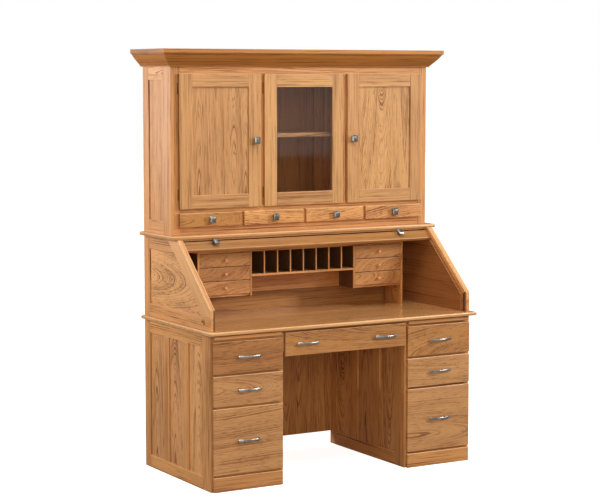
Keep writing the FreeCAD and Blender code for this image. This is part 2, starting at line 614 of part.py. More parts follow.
full_depth = (ORGANIZER_REAR, ORGANIZER_FRONT)
inner_depth = (rack_back, ORGANIZER_FRONT)
inner_back = (INNER_BACK_DEPTH, INNER_BACK_DEPTH + BACK_THICK)
organizer = [
    board(-ORGANIZER_HALF_WIDTH, ORGANIZER_HALF_WIDTH, *full_depth, rack_top, organizer_top),
    board(-stack_outer, stack_outer, ORGANIZER_REAR, rack_back, stack_under, rack_top),
    board(-TRACK_IN, TRACK_IN, *inner_back, DESK_HEIGHT, organizer_top - INNER_BACK_DROP),
    board(-rack_half, rack_half, *inner_depth, shelf_top - ORGANIZER_BOARD, shelf_top),
]
for word, side in SIDES.items():
    ends = sorted((side * stack_inner, side * stack_outer))
    organizer.append(board(side * stack_outer, side * ORGANIZER_HALF_WIDTH, *full_depth, DESK_HEIGHT, rack_top))
    organizer.append(board(side * rack_half, side * stack_inner, *inner_depth, stack_under, rack_top))
    organizer.append(board(*ends, rack_back, front_back, stack_under, stack_floor))
    for k in range(STACK_DRAWERS):
        low = stack_floor + k * drawer_pitch
        high = low + drawer_pitch
        box_top = rack_top
        if k < STACK_DRAWERS - 1:
            box_top = high - ORGANIZER_DIVIDER
            organizer.append(board(*ends, rack_back, front_back, box_top, high))
        gap = SMALL_FRONT_GAP / 2
        front = (ends[0] + SLIDE_CLEAR, ends[1] - SLIDE_CLEAR, low + gap, high - gap)
        length = front_back - rack_back - SLIDE_CLEAR
        stock = (SMALL_BOX_SIDE, SMALL_BOX_BOTTOM, SMALL_FRONT_THICK)
        solids = drawer((*ends, low, box_top), front, front_back, length, *stock)
        foot = Vector((ends[0] + ends[1]) / 2, y_at(ORGANIZER_FRONT + SEAT), (low + high) / 2)
        forward = Vector(0, -1, 0)
        knob = rod(foot, forward, SMALL_KNOB_STEM_RADIUS, SMALL_KNOB_STEM)
        head = rod(foot + forward * SMALL_KNOB_STEM, forward, SMALL_KNOB_RADIUS, SMALL_KNOB_HEAD)
        solids.append(knob.fuse(head).removeSplitter())
        order = ("bottom", "middle", "top")[k] if STACK_DRAWERS == 3 else str(k + 1)
        save(word + "_organizer_" + order + "_drawer", solids)
divider_pitch = (2 * rack_half + ORGANIZER_DIVIDER) / PIGEONHOLES
for k in range(1, PIGEONHOLES):
    x = -rack_half + k * divider_pitch - ORGANIZER_DIVIDER
    organizer.append(board(x, x + ORGANIZER_DIVIDER, rack_back, ORGANIZER_FRONT, shelf_top, rack_top))
save("organizer_case", organizer)

# Hutch: framed sides, a face frame, decks and partitions, three doors and a row of small drawers
sides = []
for side in SIDES.values():
    top_rail = RAIL + CASE_TOP - CROWN_BOTTOM
    side_span = (0, HUTCH_DEPTH - FRAME_THICK, LEDGE_TOP, CASE_TOP)
    sides += framed_side(side * HALF, side * SIDE_IN, *side_span, 1, top_rail)
save("hutch_sides", sides)
backs.append(board(-SIDE_IN, SIDE_IN, 0, BACK_THICK, LEDGE_TOP, CASE_TOP))
save("back_panels", backs)

door_top = CROWN_BOTTOM - DOOR_TOP_REVEAL
hutch_front_low = LEDGE_TOP + HUTCH_FOOT_REVEAL
hutch_front_top = hutch_front_low + HUTCH_FRONT_HEIGHT
door_low = hutch_front_top + DOOR_DRAWER_GAP
fronts_half = HALF - HUTCH_SIDE_REVEAL
centre_edge = CENTRE_DOOR_WIDTH / 2
frame_back = HUTCH_DEPTH - FRAME_THICK
upper_opening = (door_low + HUTCH_LAP, door_top - HUTCH_LAP)
lower_opening = (hutch_front_low + HUTCH_LAP, hutch_front_top - HUTCH_LAP)
door_seat = HUTCH_DEPTH + SEAT
mullion_x = (CENTRE_DOOR_WIDTH + DOOR_GAP) / 2
mullion_half = DOOR_GAP / 2 + HUTCH_LAP
small_pitch = (2 * fronts_half + HUTCH_FRONT_GAP) / HUTCH_DRAWERS
small_width = small_pitch - HUTCH_FRONT_GAP
post_half = HUTCH_FRONT_GAP / 2 + HUTCH_LAP
opening_half = fronts_half - HUTCH_LAP
posts = [-fronts_half + k * small_pitch - HUTCH_FRONT_GAP / 2 for k in range(1, HUTCH_DRAWERS)]

# name, hinged edge, free edge of each door, both measured across X
DOORS = [
    ("left", -fronts_half, -centre_edge - DOOR_GAP),
    ("centre", -centre_edge, centre_edge),
    ("right", fronts_half, centre_edge + DOOR_GAP),
]


def knuckle(x, z, radius, spare):
    """A hinge's round knuckle at a door's rear outer corner, or the room cut for it."""
    start = Vector(x, y_at(door_seat), z - HINGE_HEIGHT / 2 - spare)
    return rod(start, Vector(0, 0, 1), radius, HINGE_HEIGHT + 2 * spare)


hinge_heights = (door_low + HINGE_INSET, door_top - HINGE_INSET)
knuckles = [knuckle(edge, z, HINGE_RADIUS, 0) for _, edge, _ in DOORS for z in hinge_heights]
save("door_hinges", knuckles)

face = []
for side in SIDES.values():
    face.append(board(side * HALF, side * opening_half, frame_back, HUTCH_DEPTH, LEDGE_TOP, CASE_TOP))
    ends = (side * (mullion_x - mullion_half), side * (mullion_x + mullion_half))
    face.append(board(*ends, frame_back, HUTCH_DEPTH, *upper_opening))
face.append(board(-opening_half, opening_half, frame_back, HUTCH_DEPTH, upper_opening[1], CASE_TOP))
face.append(board(-opening_half, opening_half, frame_back, HUTCH_DEPTH, lower_opening[1], upper_opening[0]))
face.append(board(-opening_half, opening_half, frame_back, HUTCH_DEPTH, LEDGE_TOP, lower_opening[0]))
face += [board(x - post_half, x + post_half, frame_back, HUTCH_DEPTH, *lower_opening) for x in posts]
knuckle_group = Part.makeCompound(knuckles)
save("hutch_face_frame", [solid.cut(knuckle_group) for solid in face])

decks = [
    board(-SIDE_IN, SIDE_IN, BACK_THICK, frame_back, lower_opening[0] - DECK_THICK, lower_opening[0]),
    board(-SIDE_IN, SIDE_IN, BACK_THICK, frame_back, upper_opening[0] - DECK_THICK, upper_opening[0]),
    board(-SIDE_IN, SIDE_IN, BACK_THICK, frame_back, CROWN_BOTTOM - DECK_THICK, CROWN_BOTTOM),
]
wall_half = DECK_THICK / 2
lower_tier = (lower_opening[0], upper_opening[0] - DECK_THICK)
upper_tier = (upper_opening[0], CROWN_BOTTOM - DECK_THICK)
for x in posts:
    decks.append(board(x - wall_half, x + wall_half, BACK_THICK, frame_back, *lower_tier))
walls = [-SIDE_IN - wall_half, -mullion_x, mullion_x, SIDE_IN + wall_half]
for x in walls[1:-1]:
    decks.append(board(x - wall_half, x + wall_half, BACK_THICK, frame_back, *upper_tier))
shelf_z = upper_opening[0] + SHELF_HEIGHT
shelf_span = (BACK_THICK, frame_back - SHELF_SETBACK, shelf_z - SHELF_THICK, shelf_z)
for a, b in zip(walls, walls[1:]):
    decks.append(board(a + wall_half, b - wall_half, *shelf_span))
save("hutch_decks_and_shelves", decks)

for name, hinged, free in DOORS:
    inward = 1 if free > hinged else -1
    back, front = door_seat, door_seat + DOOR_THICK
    inner = (hinged + inward * DOOR_STILE, free - inward * DOOR_STILE)
    hinge_stile = board(hinged, inner[0], back, front, door_low, door_top)
    for z in hinge_heights:
        hinge_stile = hinge_stile.cut(knuckle(hinged, z, HINGE_RADIUS + SEAT, SEAT))
    frame = [
        hinge_stile,
        board(inner[1], free, back, front, door_low, door_top),
        board(*inner, back, front, door_low, door_low + DOOR_RAIL),
        board(*inner, back, front, door_top - DOOR_RAIL, door_top),
    ]
    middle = (back + front) / 2
    light = (door_low + DOOR_RAIL, door_top - DOOR_RAIL)
    if name == "centre":
        save("centre_door_glass", [board(*inner, middle - GLASS_THICK / 2, middle + GLASS_THICK / 2, *light)])
    else:
        frame.append(board(*inner, middle - PANEL_THICK / 2, middle + PANEL_THICK / 2, *light))
        knob_x = free - inward * KNOB_INSET
        save(name + "_door_knob", [face_knob(knob_x, front, (door_low + door_top) / 2)])
    save(name + "_door", frame)

stops = [-opening_half - post_half] + posts + [opening_half + post_half]
for k in range(HUTCH_DRAWERS):
    front_left = -fronts_half + k * small_pitch
    front = (front_left, front_left + small_width, hutch_front_low, hutch_front_top)
    opening = (stops[k] + post_half, stops[k + 1] - post_half, *lower_opening)
    node = "hutch_drawer_" + str(k + 1)
    save(node, drawer(opening, front, HUTCH_DEPTH, HUTCH_DEPTH - BACK_THICK - HUTCH_BACK_ROOM))
    knob_z = (hutch_front_low + hutch_front_top) / 2
    save(node + "_knob", [face_knob(front_left + small_width / 2, door_seat + FRONT_THICK, knob_z)])

save("drawer_runners", runners)

# Crown moulding: one profile mitred round the front and the two sides
crown_profile = [
    (0, 0), (CROWN_FOOT, 0), (CROWN_PROJECTION, CROWN_HEIGHT - CROWN_BAND), (CROWN_PROJECTION, CROWN_HEIGHT),
    (0, CROWN_HEIGHT),
]


def crown_section(x_sign, front, run):
    """The profile as a closed wire, at a mitred corner or, where run is 0, square at the rear plane."""
    points = []
    for out, up in crown_profile:
        points.append(Vector(x_sign * (HALF + out), y_at(run * (front + out)), CROWN_BOTTOM + up))
    return Part.makePolygon(points + points[:1])


corners = [crown_section(s, HUTCH_DEPTH, 1) for s in (-1, 1)]
crown = [Part.makeLoft(corners, True, True)]
for s, corner in zip((-1, 1), corners):
    crown.append(Part.makeLoft([crown_section(s, HUTCH_DEPTH, 0), corner], True, True))
save("crown_moulding", crown)
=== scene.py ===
import math

import bpy
import numpy as np
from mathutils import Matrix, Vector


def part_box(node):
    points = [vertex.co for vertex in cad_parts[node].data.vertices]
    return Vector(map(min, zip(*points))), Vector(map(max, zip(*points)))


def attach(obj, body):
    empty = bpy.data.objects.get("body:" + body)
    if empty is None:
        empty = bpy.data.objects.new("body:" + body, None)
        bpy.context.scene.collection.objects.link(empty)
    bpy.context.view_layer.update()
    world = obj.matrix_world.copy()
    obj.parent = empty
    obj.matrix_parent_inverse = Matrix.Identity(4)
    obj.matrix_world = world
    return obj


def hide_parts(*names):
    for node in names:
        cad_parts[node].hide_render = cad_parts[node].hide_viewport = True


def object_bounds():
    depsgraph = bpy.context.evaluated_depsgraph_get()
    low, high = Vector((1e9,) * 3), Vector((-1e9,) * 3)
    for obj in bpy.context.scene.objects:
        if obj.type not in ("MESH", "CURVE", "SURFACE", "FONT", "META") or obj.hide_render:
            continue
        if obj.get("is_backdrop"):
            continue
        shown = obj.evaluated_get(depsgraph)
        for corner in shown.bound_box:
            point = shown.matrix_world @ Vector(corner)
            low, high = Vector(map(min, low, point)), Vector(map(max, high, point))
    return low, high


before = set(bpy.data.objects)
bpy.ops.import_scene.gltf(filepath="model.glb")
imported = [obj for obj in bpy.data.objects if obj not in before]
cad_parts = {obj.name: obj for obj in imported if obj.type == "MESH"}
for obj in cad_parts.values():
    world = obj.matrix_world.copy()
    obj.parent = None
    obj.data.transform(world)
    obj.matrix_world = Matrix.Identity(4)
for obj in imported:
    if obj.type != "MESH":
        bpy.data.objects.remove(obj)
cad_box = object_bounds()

# Pedestal sides: each pedestal has an outer side and one to the kneehole. A side is an oak frame of
# stiles, rails and muntins joined with glued tenons, and holds three flat oak panels in its grooves.


def solids_of(node):
    """The corner points of each solid of a CAD node.

    A closed surface walks each of its edges once each way. Every edge has a number of its own that counts
    up one way and down the other, so the running total over the triangles is back at zero where a solid
    is closed.
    """
    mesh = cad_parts[node].data
    mesh.calc_loop_triangles()
    places = np.empty(len(mesh.vertices) * 3, np.float32)
    mesh.vertices.foreach_get("co", places)
    corners = np.empty(len(mesh.loop_triangles) * 3, np.int32)
    mesh.loop_triangles.foreach_get("vertices", corners)
    places = np.round(places.reshape(-1, 3).astype(float), 5)
    points, index = np.unique(places, axis=0, return_inverse=True)
    start = index.reshape(-1)[corners].reshape(-1, 3)
    start = start[(start != np.roll(start, 1, axis=1)).all(axis=1)]
    end = np.roll(start, -1, axis=1)
    pairs = np.stack([np.minimum(start, end).ravel(), np.maximum(start, end).ravel()], axis=1)
    edges, which = np.unique(pairs, axis=0, return_inverse=True)
    number = np.random.default_rng(7).uniform(1, 2, len(edges))[which.reshape(-1)].reshape(-1, 3)
    total = np.cumsum((np.where(start < end, 1, -1) * number).sum(axis=1))
    closed = np.flatnonzero(np.abs(total) < 1e-6) + 1
    return [points[np.unique(run)] for run in np.split(start, closed)[:-1]]


def outline_of(flat, directions=1440):
    """The corners round a set of flat points, anticlockwise: the farthest point in each direction."""
    flat = np.unique(np.round(flat, 5), axis=0)
    first = 0.001
    angle = np.linspace(first, first + 2 * np.pi, directions, endpoint=False)
    farthest = np.argmax(flat @ np.stack([np.cos(angle), np.sin(angle)]), axis=0)
    return flat[farthest[farthest != np.roll(farthest, 1)]]


def grid_faces(rings, around):
    """Four-cornered faces between neighbouring rings of points, and one face over each end ring."""
    ring = np.arange(rings - 1)[:, None] * around
    place = np.arange(around)[None]
    after = (place + 1) % around
    quads = np.stack([ring + place, ring + after, ring + around + after, ring + around + place], axis=2)
    ends = [np.arange(around)[::-1], (rings - 1) * around + np.arange(around)]
    return quads.reshape(-1, 4).tolist() + [end.tolist() for end in ends]


def eased(outline, start, end, ease, steps):
    """A convex outline carried from start to end, with every edge rounded to a quarter circle.

    The outline is drawn in by the rounding, and each corner opens into an arc that turns from one side's
    normal to the next. At both ends the arcs shrink as the sine of an angle, while the way along grows as
    one less its cosine. The edge value is 1 in the middle of a rounding and 0 on the flat faces.
    """
    smallest_arc = 0.08
    sharp_turn = 0.3
    side = np.roll(outline, -1, axis=0) - outline
    side /= np.linalg.norm(side, axis=1, keepdims=True)
    normal = np.stack([side[:, 1], -side[:, 0]], axis=1)
    before = np.roll(normal, 1, axis=0)
    cosine = (before * normal).sum(axis=1)
    turn = np.arctan2(before[:, 0] * normal[:, 1] - before[:, 1] * normal[:, 0], cosine)
    inner = outline - ease * (before + normal) / (1 + cosine)[:, None]
    share = np.linspace(0, 1, steps + 1)
    angle = np.arctan2(before[:, 1], before[:, 0])[:, None] + turn[:, None] * share
    way = np.stack([np.cos(angle), np.sin(angle)], axis=2)
    bend = share * np.pi / 2
    swell = np.concatenate([np.sin(bend), np.sin(bend[::-1])])[:, None, None, None]
    lean = np.concatenate([-np.cos(bend), np.cos(bend[::-1])])
    along = np.concatenate([start + ease * (1 - np.cos(bend)), end - ease * (1 - np.cos(bend[::-1]))])
    flat = inner[None, :, None, :] + ease * np.maximum(swell, smallest_arc) * way[None]
    shape = flat.shape[:3] + (1,)
    points = np.concatenate([flat, np.broadcast_to(along[:, None, None, None], shape)], axis=3)
    lean = np.broadcast_to(lean[:, None, None, None], shape)
    normals = np.concatenate([swell * way[None], lean], axis=3)
    corner = (4 * share * (1 - share))[None] * (np.abs(turn) > sharp_turn)[:, None]
    rim = np.concatenate([np.sin(2 * bend), np.sin(2 * bend[::-1])])[:, None, None]
    edge = np.maximum(rim, corner[None] * (swell[:, :, :, 0] > 0.01))
    faces = grid_faces(len(along), len(outline) * (steps + 1))
    return points.reshape(-1, 3), normals.reshape(-1, 3), edge.ravel(), faces


def in_log(points, grain, thin, plain, stave, taper=0.04):
    """Where each point lies in the log, and the board's own tone, place beside the pith and stave width.

    The first number runs along the grain from the middle, the second across, and the third out from the
    pith. A plain-sawn board leans to the pith by about the taper over its length, which gives arches. Any
    other lies to one side of the pith, which gives lines. The board's place seeds its random draws, with
    a hair added so that rounding can't change the seed.
    """
    wide = 3 - grain - thin
    middle = (points.min(axis=0) + points.max(axis=0)) / 2
    hair = 0.002
    seed = int(abs(middle @ (7919.0, 104729.0, 15485.0)) * 1000 + hair) % 2 ** 31
    dice = np.random.default_rng(seed)
    along, across, through = (points - middle)[:, [grain, wide, thin]].T
    length = max(np.ptp(along), 0.3)
    if plain:
        lean = dice.choice((-1, 1)) * dice.uniform(0.6, 1.4) * taper / length
        aside = 0
    else:
        lean = dice.uniform(-0.012, 0.012)
        aside = dice.choice((-1, 1)) * dice.uniform(0.1, 0.2)
    depth = abs(lean) * length / 2 + dice.uniform(0.005, 0.025)
    place = np.stack([along, across, through + depth + lean * along], axis=1)
    tone = np.round(np.clip(dice.normal(), -1.6, 1.6), 2)
    return place, np.tile((tone, aside, stave), (len(points), 1))


def plank(corners, ease, grain=None, plain=None, steps=2, outline=None, axis=None, slant=None,
          stave=0.085, taper=0.04):
    """One board on the corner points of its solid, with eased edges.

    A board with square corners is carried along its length, any other one along X. The grain follows the
    length, or a slant given as a way in Y and Z. Wide boards are plain-sawn, and all are glued up from
    staves of one width. Edges that look up take the most of the pale edge colour, a painted highlight
    where light from above catches them.
    """
    wide_board = 0.09
    low, high = corners.min(axis=0), corners.max(axis=0)
    size = high - low
    levels = [len(np.unique(corners[:, k])) for k in range(3)]
    if axis is None:
        axis = 0 if levels[0] == 2 and max(levels) > 2 else int(np.argmax(size))
    second, third = (axis + 1) % 3, (axis + 2) % 3
    if outline is None:
        flat = corners[:, [second, third]]
        if levels[axis] > 2:
            ends = np.stack([low, high])[:, [second, third]]
            flat = np.stack(np.meshgrid(*ends.T), axis=2).reshape(-1, 2)
        outline = outline_of(flat)
    drawn, turned, edge, faces = eased(outline, low[axis], high[axis], ease, steps)
    order = np.argsort([second, third, axis])
    points, normals = drawn[:, order], turned[:, order]
    # Up-facing edges get more of the pale edge colour: a painted highlight for light from above.
    looks_up = normals[:, 2] > 0.2
    edge = edge * np.where(looks_up, 1.7, 0.6)
    if grain is None:
        grain = int(np.argmax(size))
    thin = min((k for k in range(3) if k != grain), key=lambda k: size[k])
    if plain is None:
        plain = size[3 - grain - thin] > wide_board
    if slant is None:
        log, board = in_log(points, grain, thin, plain, stave, taper)
    else:
        tilted = np.array([(1, 0, 0), (0, slant[0], -slant[1]), (0, slant[1], slant[0])])
        log, board = in_log(points @ tilted, 1, 0, plain, stave)
    return {"points": points, "normals": normals, "edge": edge, "faces": faces,
            "log": log, "board": board}


def show(name, parts, material, body, nodes):
    """Joins parts into one mesh with their attributes. It rides on its body in place of its CAD nodes."""
    starts = np.cumsum([0] + [len(part["points"]) for part in parts])
    faces = [[v + int(s) for v in face] for part, s in zip(parts, starts) for face in part["faces"]]
    mesh = bpy.data.meshes.new(name)
    mesh.from_pydata(np.concatenate([part["points"] for part in parts]), [], faces)
    mesh.shade_smooth()
    kinds = (("log", "FLOAT_VECTOR", "vector"), ("board", "FLOAT_VECTOR", "vector"),
             ("edge", "FLOAT", "value"))
    for key, kind, field in kinds:
        if key in parts[0]:
            values = np.concatenate([part[key] for part in parts]).astype(np.float32)
            mesh.attributes.new(key, kind, "POINT").data.foreach_set(field, values.ravel())
    if "normals" in parts[0]:
        mesh.normals_split_custom_set_from_vertices(np.concatenate([part["normals"] for part in parts]))
    else:
        crease = math.radians(32)
        mesh.set_sharp_from_angle(angle=crease)
    mesh.materials.append(material)
    piece = bpy.data.objects.new(name, mesh)
    bpy.context.scene.collection.objects.link(piece)
    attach(piece, body)
    if nodes:
        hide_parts(*nodes)
    return piece


def add(tree, kind, settings=None, **inputs):
    """A shader node with its settings. Each input is set to a value or joined to another output."""
    node = tree.nodes.new("ShaderNode" + kind)
    for key, value in (settings or {}).items():
        setattr(node, key, value)
    for key, value in inputs.items():
        socket = node.inputs[int(key[1:])] if key[1:].isdigit() else node.inputs[key.replace("_", " ")]
        if isinstance(value, bpy.types.NodeSocket):
            tree.links.new(value, socket)
        else:
            socket.default_value = value
    return node


def sums(tree, operation, *values):
    """The output of a Math node."""
    inputs = {"i%d" % k: value for k, value in enumerate(values)}
    return add(tree, "Math", {"operation": operation}, **inputs).outputs[0]


def grain_noise(tree, log, marks, detail):
    """Noise drawn out along the grain, with so many marks in a metre along it and across it."""
    scale = (marks[0], marks[1], marks[1])
    scaled = add(tree, "VectorMath", {"operation": "MULTIPLY"}, i0=log, i1=scale).outputs[0]
    return add(tree, "TexNoise", Vector=scaled, Scale=1.0, Detail=detail, Roughness=0.55).outputs[0]


def mixed(tree, share, first, second, blend="MIX"):
    """Two colours mixed by a share."""
    node = add(tree, "Mix", {"data_type": "RGBA", "blend_type": blend}, i0=share, i6=first, i7=second)
    return node.outputs[2]


def new_group(name, takes, gives):
    """An empty shader node group with named inputs and outputs, and its two end nodes."""
    tree = bpy.data.node_groups.new(name, "ShaderNodeTree")
    for way, sockets in (("INPUT", takes), ("OUTPUT", gives)):
        for label, kind in sockets:
            tree.interface.new_socket(label, in_out=way, socket_type="NodeSocket" + kind)
    return tree, tree.nodes.new("NodeGroupInput").outputs, tree.nodes.new("NodeGroupOutput").inputs


# Growth rings are cones round the pith that waver along the log, some broad and some narrow. Each begins
# with a dark, open-pored band, broken into dashes, and pales outwards. Every stave comes from its own
# place in the log.
figure, taken, given = new_group(
    "wood_figure",
    [("Log", "Vector"), ("Board", "Vector"), ("Edge", "Float"), ("Pale", "Color"), ("Dark", "Color"),
     ("Ring Width", "Float"), ("Contrast", "Float"), ("Gloss", "Float"), ("Spread", "Float")],
    [("Color", "Color"), ("Roughness", "Float"), ("Height", "Float")])
along, across, out = add(figure, "SeparateXYZ", Vector=taken["Log"]).outputs
tone, aside, stave = add(figure, "SeparateXYZ", Vector=taken["Board"]).outputs
number = sums(figure, "ROUND", sums(figure, "DIVIDE", across, stave))
seed = sums(figure, "ROUND", sums(figure, "MULTIPLY", tone, 100.0))
chance = add(figure, "CombineXYZ", X=number, Y=seed).outputs[0]
chance = add(figure, "TexWhiteNoise", {"noise_dimensions": "2D"}, Vector=chance).outputs
first, second, third = add(figure, "SeparateColor", Color=chance["Color"]).outputs
sawn = sums(figure, "COMPARE", aside, 0.0, 0.001)
spread = sums(figure, "MULTIPLY", stave, taken["Spread"])
shift = sums(figure, "MULTIPLY", sums(figure, "MULTIPLY_ADD", first, 2.0, -1.0), spread)
shift = sums(figure, "MULTIPLY_ADD", shift, sawn, aside)
across = sums(figure, "MULTIPLY_ADD", number, sums(figure, "MULTIPLY", stave, -1.0), across)
across = sums(figure, "ADD", across, shift)
slope = sums(figure, "MULTIPLY", sums(figure, "MULTIPLY_ADD", second, 0.04, -0.02), sawn)
out = sums(figure, "MULTIPLY_ADD", slope, along, sums(figure, "MULTIPLY_ADD", third, 0.02, out))
along = sums(figure, "MULTIPLY_ADD", chance["Value"], 20.0, along)
tone = sums(figure, "MULTIPLY_ADD", sums(figure, "MULTIPLY_ADD", third, 1.6, -0.8), sawn, tone)
log = add(figure, "CombineXYZ", X=along, Y=across, Z=out).outputs[0]
waver = grain_noise(figure, log, (1.1, 6), 1.0)
ripple = grain_noise(figure, log, (4, 45), 2.0)
radius = add(figure, "CombineXYZ", Y=across, Z=out).outputs[0]
radius = add(figure, "VectorMath", {"operation": "LENGTH"}, i0=radius).outputs["Value"]
radius = sums(figure, "MULTIPLY_ADD", sums(figure, "SUBTRACT", waver, 0.5), 0.016, radius)
radius = sums(figure, "MULTIPLY_ADD", sums(figure, "SUBTRACT", ripple, 0.5), 0.0035, radius)
ring = sums(figure, "DIVIDE", radius, taken["Ring Width"])
uneven = sums(figure, "MULTIPLY", ring, 0.37)
uneven = add(figure, "TexNoise", {"noise_dimensions": "1D"}, W=uneven, Detail=1.0).outputs[0]
ring = sums(figure, "MULTIPLY_ADD", uneven, 2.0, ring)
phase = sums(figure, "FRACT", ring)
weight = sums(figure, "FLOOR", ring)
weight = add(figure, "TexWhiteNoise", {"noise_dimensions": "1D"}, W=weight).outputs["Value"]
weight = sums(figure, "MULTIPLY_ADD", weight, 0.75, 0.25)
band = add(figure, "ValToRGB", Fac=phase)
band.color_ramp.elements[0].color = (0.3, 0.3, 0.3, 1)
band.color_ramp.elements[1].color = (0.2, 0.2, 0.2, 1)
for spot, shade in ((0.08, 1.0), (0.26, 0.75), (0.48, 0.18), (0.85, 0.0)):
    band.color_ramp.elements.new(spot).color = (shade, shade, shade, 1)


def picked(value, low, high):
    """The share of a value between two limits, eased at both."""
    smooth = {"interpolation_type": "SMOOTHSTEP"}
    return add(figure, "MapRange", smooth, Value=value, From_Min=low, From_Max=high).outputs[0]


dash = picked(grain_noise(figure, log, (4, 160), 2.0), 0.34, 0.58)
early = sums(figure, "MULTIPLY", band.outputs[0], weight)
early = sums(figure, "MULTIPLY", early, sums(figure, "MULTIPLY_ADD", dash, 0.5, 0.5))
lively = picked(grain_noise(figure, log, (2.2, 16), 2.0), 0.36, 0.64)
early = sums(figure, "MULTIPLY", early, sums(figure, "MULTIPLY_ADD", lively, 0.9, 0.35))
fleck = picked(grain_noise(figure, log, (6, 140), 2.0), 0.54, 0.7)
fibre = grain_noise(figure, log, (5, 260), 3.0)
cloud = grain_noise(figure, log, (1.6, 13), 2.0)
pore = picked(grain_noise(figure, log, (45, 1300), 1.0), 0.56, 0.68)
pore = sums(figure, "MULTIPLY", pore, sums(figure, "MULTIPLY_ADD", band.outputs[0], 0.8, 0.2))
depth = sums(figure, "MULTIPLY_ADD", fleck, 0.35, early)
depth = sums(figure, "MULTIPLY", depth, taken["Contrast"])
depth = sums(figure, "MULTIPLY_ADD", sums(figure, "SUBTRACT", fibre, 0.5), 0.6, depth)
depth = sums(figure, "MULTIPLY_ADD", sums(figure, "SUBTRACT", cloud, 0.48), 0.85, depth)
depth = add(figure, "Clamp", Value=depth).outputs[0]
colour = mixed(figure, depth, taken["Pale"], taken["Dark"])
colour = mixed(figure, sums(figure, "MULTIPLY", pore, 0.4), colour, (0.15, 0.052, 0.013, 1))
lightness = sums(figure, "MULTIPLY_ADD", tone, 0.05, 1.0)
warmth = sums(figure, "MULTIPLY_ADD", tone, 0.0015, 0.5)
colour = add(figure, "HueSaturation", Hue=warmth, Value=lightness, Color=colour).outputs[0]
# Rounded edges mix towards a pale colour: partly wear, and partly a painted highlight where light catches
# them.
colour = mixed(figure, sums(figure, "MULTIPLY", taken["Edge"], 0.35), colour, (0.90, 0.60, 0.32, 1))
rough = sums(figure, "MULTIPLY_ADD", pore, 0.2, taken["Gloss"])
rough = sums(figure, "MULTIPLY_ADD", fibre, 0.1, rough)
height = sums(figure, "MULTIPLY_ADD", pore, -1.0, sums(figure, "MULTIPLY", early, -0.25))
for label, socket in (("Color", colour), ("Roughness", rough), ("Height", height)):
    figure.links.new(socket, given[label])


def wood(name, pale, dark, ring=0.0095, contrast=1.0, gloss=0.4, coat=0.1, spread=0.8):
    """A wood: the shared figure in its own colours and ring width, under a film of varnish.

    Gloss is the roughness between the pores, and the spread says how far the staves lie apart in the log.
    """
    material = bpy.data.materials.new(name)
    material.use_nodes = True
    tree = material.node_tree
    shader = tree.nodes["Principled BSDF"]
    source = {"Pale": (*pale, 1), "Dark": (*dark, 1), "Ring Width": ring, "Contrast": contrast,
              "Gloss": gloss, "Spread": spread}
    figured = add(tree, "Group", {"node_tree": figure})
    for label, value in source.items():
        figured.inputs[label].default_value = value
    for key, field in (("log", "Vector"), ("board", "Vector"), ("edge", "Fac")):
        read = add(tree, "Attribute", {"attribute_name": key})
        tree.links.new(read.outputs[field], figured.inputs[key.title()])
    bump = add(tree, "Bump", Strength=0.25, Distance=0.0005, Height=figured.outputs["Height"])
    tree.links.new(figured.outputs["Color"], shader.inputs["Base Color"])
    tree.links.new(figured.outputs["Roughness"], shader.inputs["Roughness"])
    tree.links.new(bump.outputs[0], shader.inputs["Normal"])
    shader.inputs["Coat Weight"].default_value = coat
    shader.inputs["Coat Roughness"].default_value = 0.18
    return material


oak = wood("golden_oak", (0.74, 0.35, 0.117), (0.25, 0.081, 0.014), contrast=1.5, spread=1.5)
arched_oak = wood("arched_oak", (0.78, 0.385, 0.143), (0.21, 0.068, 0.012), contrast=1.4, spread=0.1)
frame_ease = 0.0015
panel_ease = 0.0005
panel_thick = 0.007
panel_stave = 0.3
side_panel_taper = 0.06
for side in ("left", "right"):
    node = side + "_pedestal_sides"
    framing, panels = [], []
    for corners in solids_of(node):
        if np.ptp(corners, axis=0).min() < panel_thick:
            board = plank(corners, panel_ease, plain=True, stave=panel_stave, taper=side_panel_taper)
            panels.append(board)
        else:
            framing.append(plank(corners, frame_ease))
    show(node + "_oak", framing, oak, "desk_case", [node])
    show(node + "_panels", panels, arched_oak, "desk_case", [])

# Pedestal face frames: narrow oak stiles and rails glued to the front of the sides, which leave the
# drawer openings. A plinth board with a rounded edge is glued across the foot of each.
brown_oak = wood("brown_oak", (0.62, 0.29, 0.098), (0.23, 0.068, 0.011), contrast=1.35, spread=1.5)
plinth_ease = 0.004
slack = 0.001
parts, plinths = [], []
face_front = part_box("pedestal_face_frames")[0].y
for corners in solids_of("pedestal_face_frames"):
    if corners[:, 1].min() < face_front + slack:
        plinths.append(plank(corners, plinth_ease))
    else:
        parts.append(plank(corners, frame_ease))
show("pedestal_face_frames_oak", parts, oak, "desk_case", ["pedestal_face_frames"])
show("pedestal_plinths_oak", plinths, brown_oak, "desk_case", [])

# Inside the case: pedestal floors, the rails that the drawers slide on, thin back panels let into the
# rear, and the modesty panel across the kneehole, veneered with upright grain.
# The inner oak is plainer and darker than the show wood: partly its own tone, and partly a painted shade
# for the dim insides.
inner_oak = wood("inner_oak", (0.45, 0.188, 0.053), (0.215, 0.068, 0.014),
                 ring=0.013, gloss=0.46, coat=0.05)
for node, grain in (("pedestal_floors", 1), ("drawer_runners", 1), ("back_panels", 2)):
    parts = [plank(corners, panel_ease, grain=grain) for corners in solids_of(node)]
    show(node + "_wood", parts, inner_oak, "desk_case", [node])
# The modesty panel takes the darker brown oak, a painted shade for the kneehole.
modesty = [plank(corners, panel_ease, grain=2, plain=True) for corners in solids_of("modesty_panel")]
show("modesty_panel_oak", modesty, brown_oak, "desk_case", ["modesty_panel"])

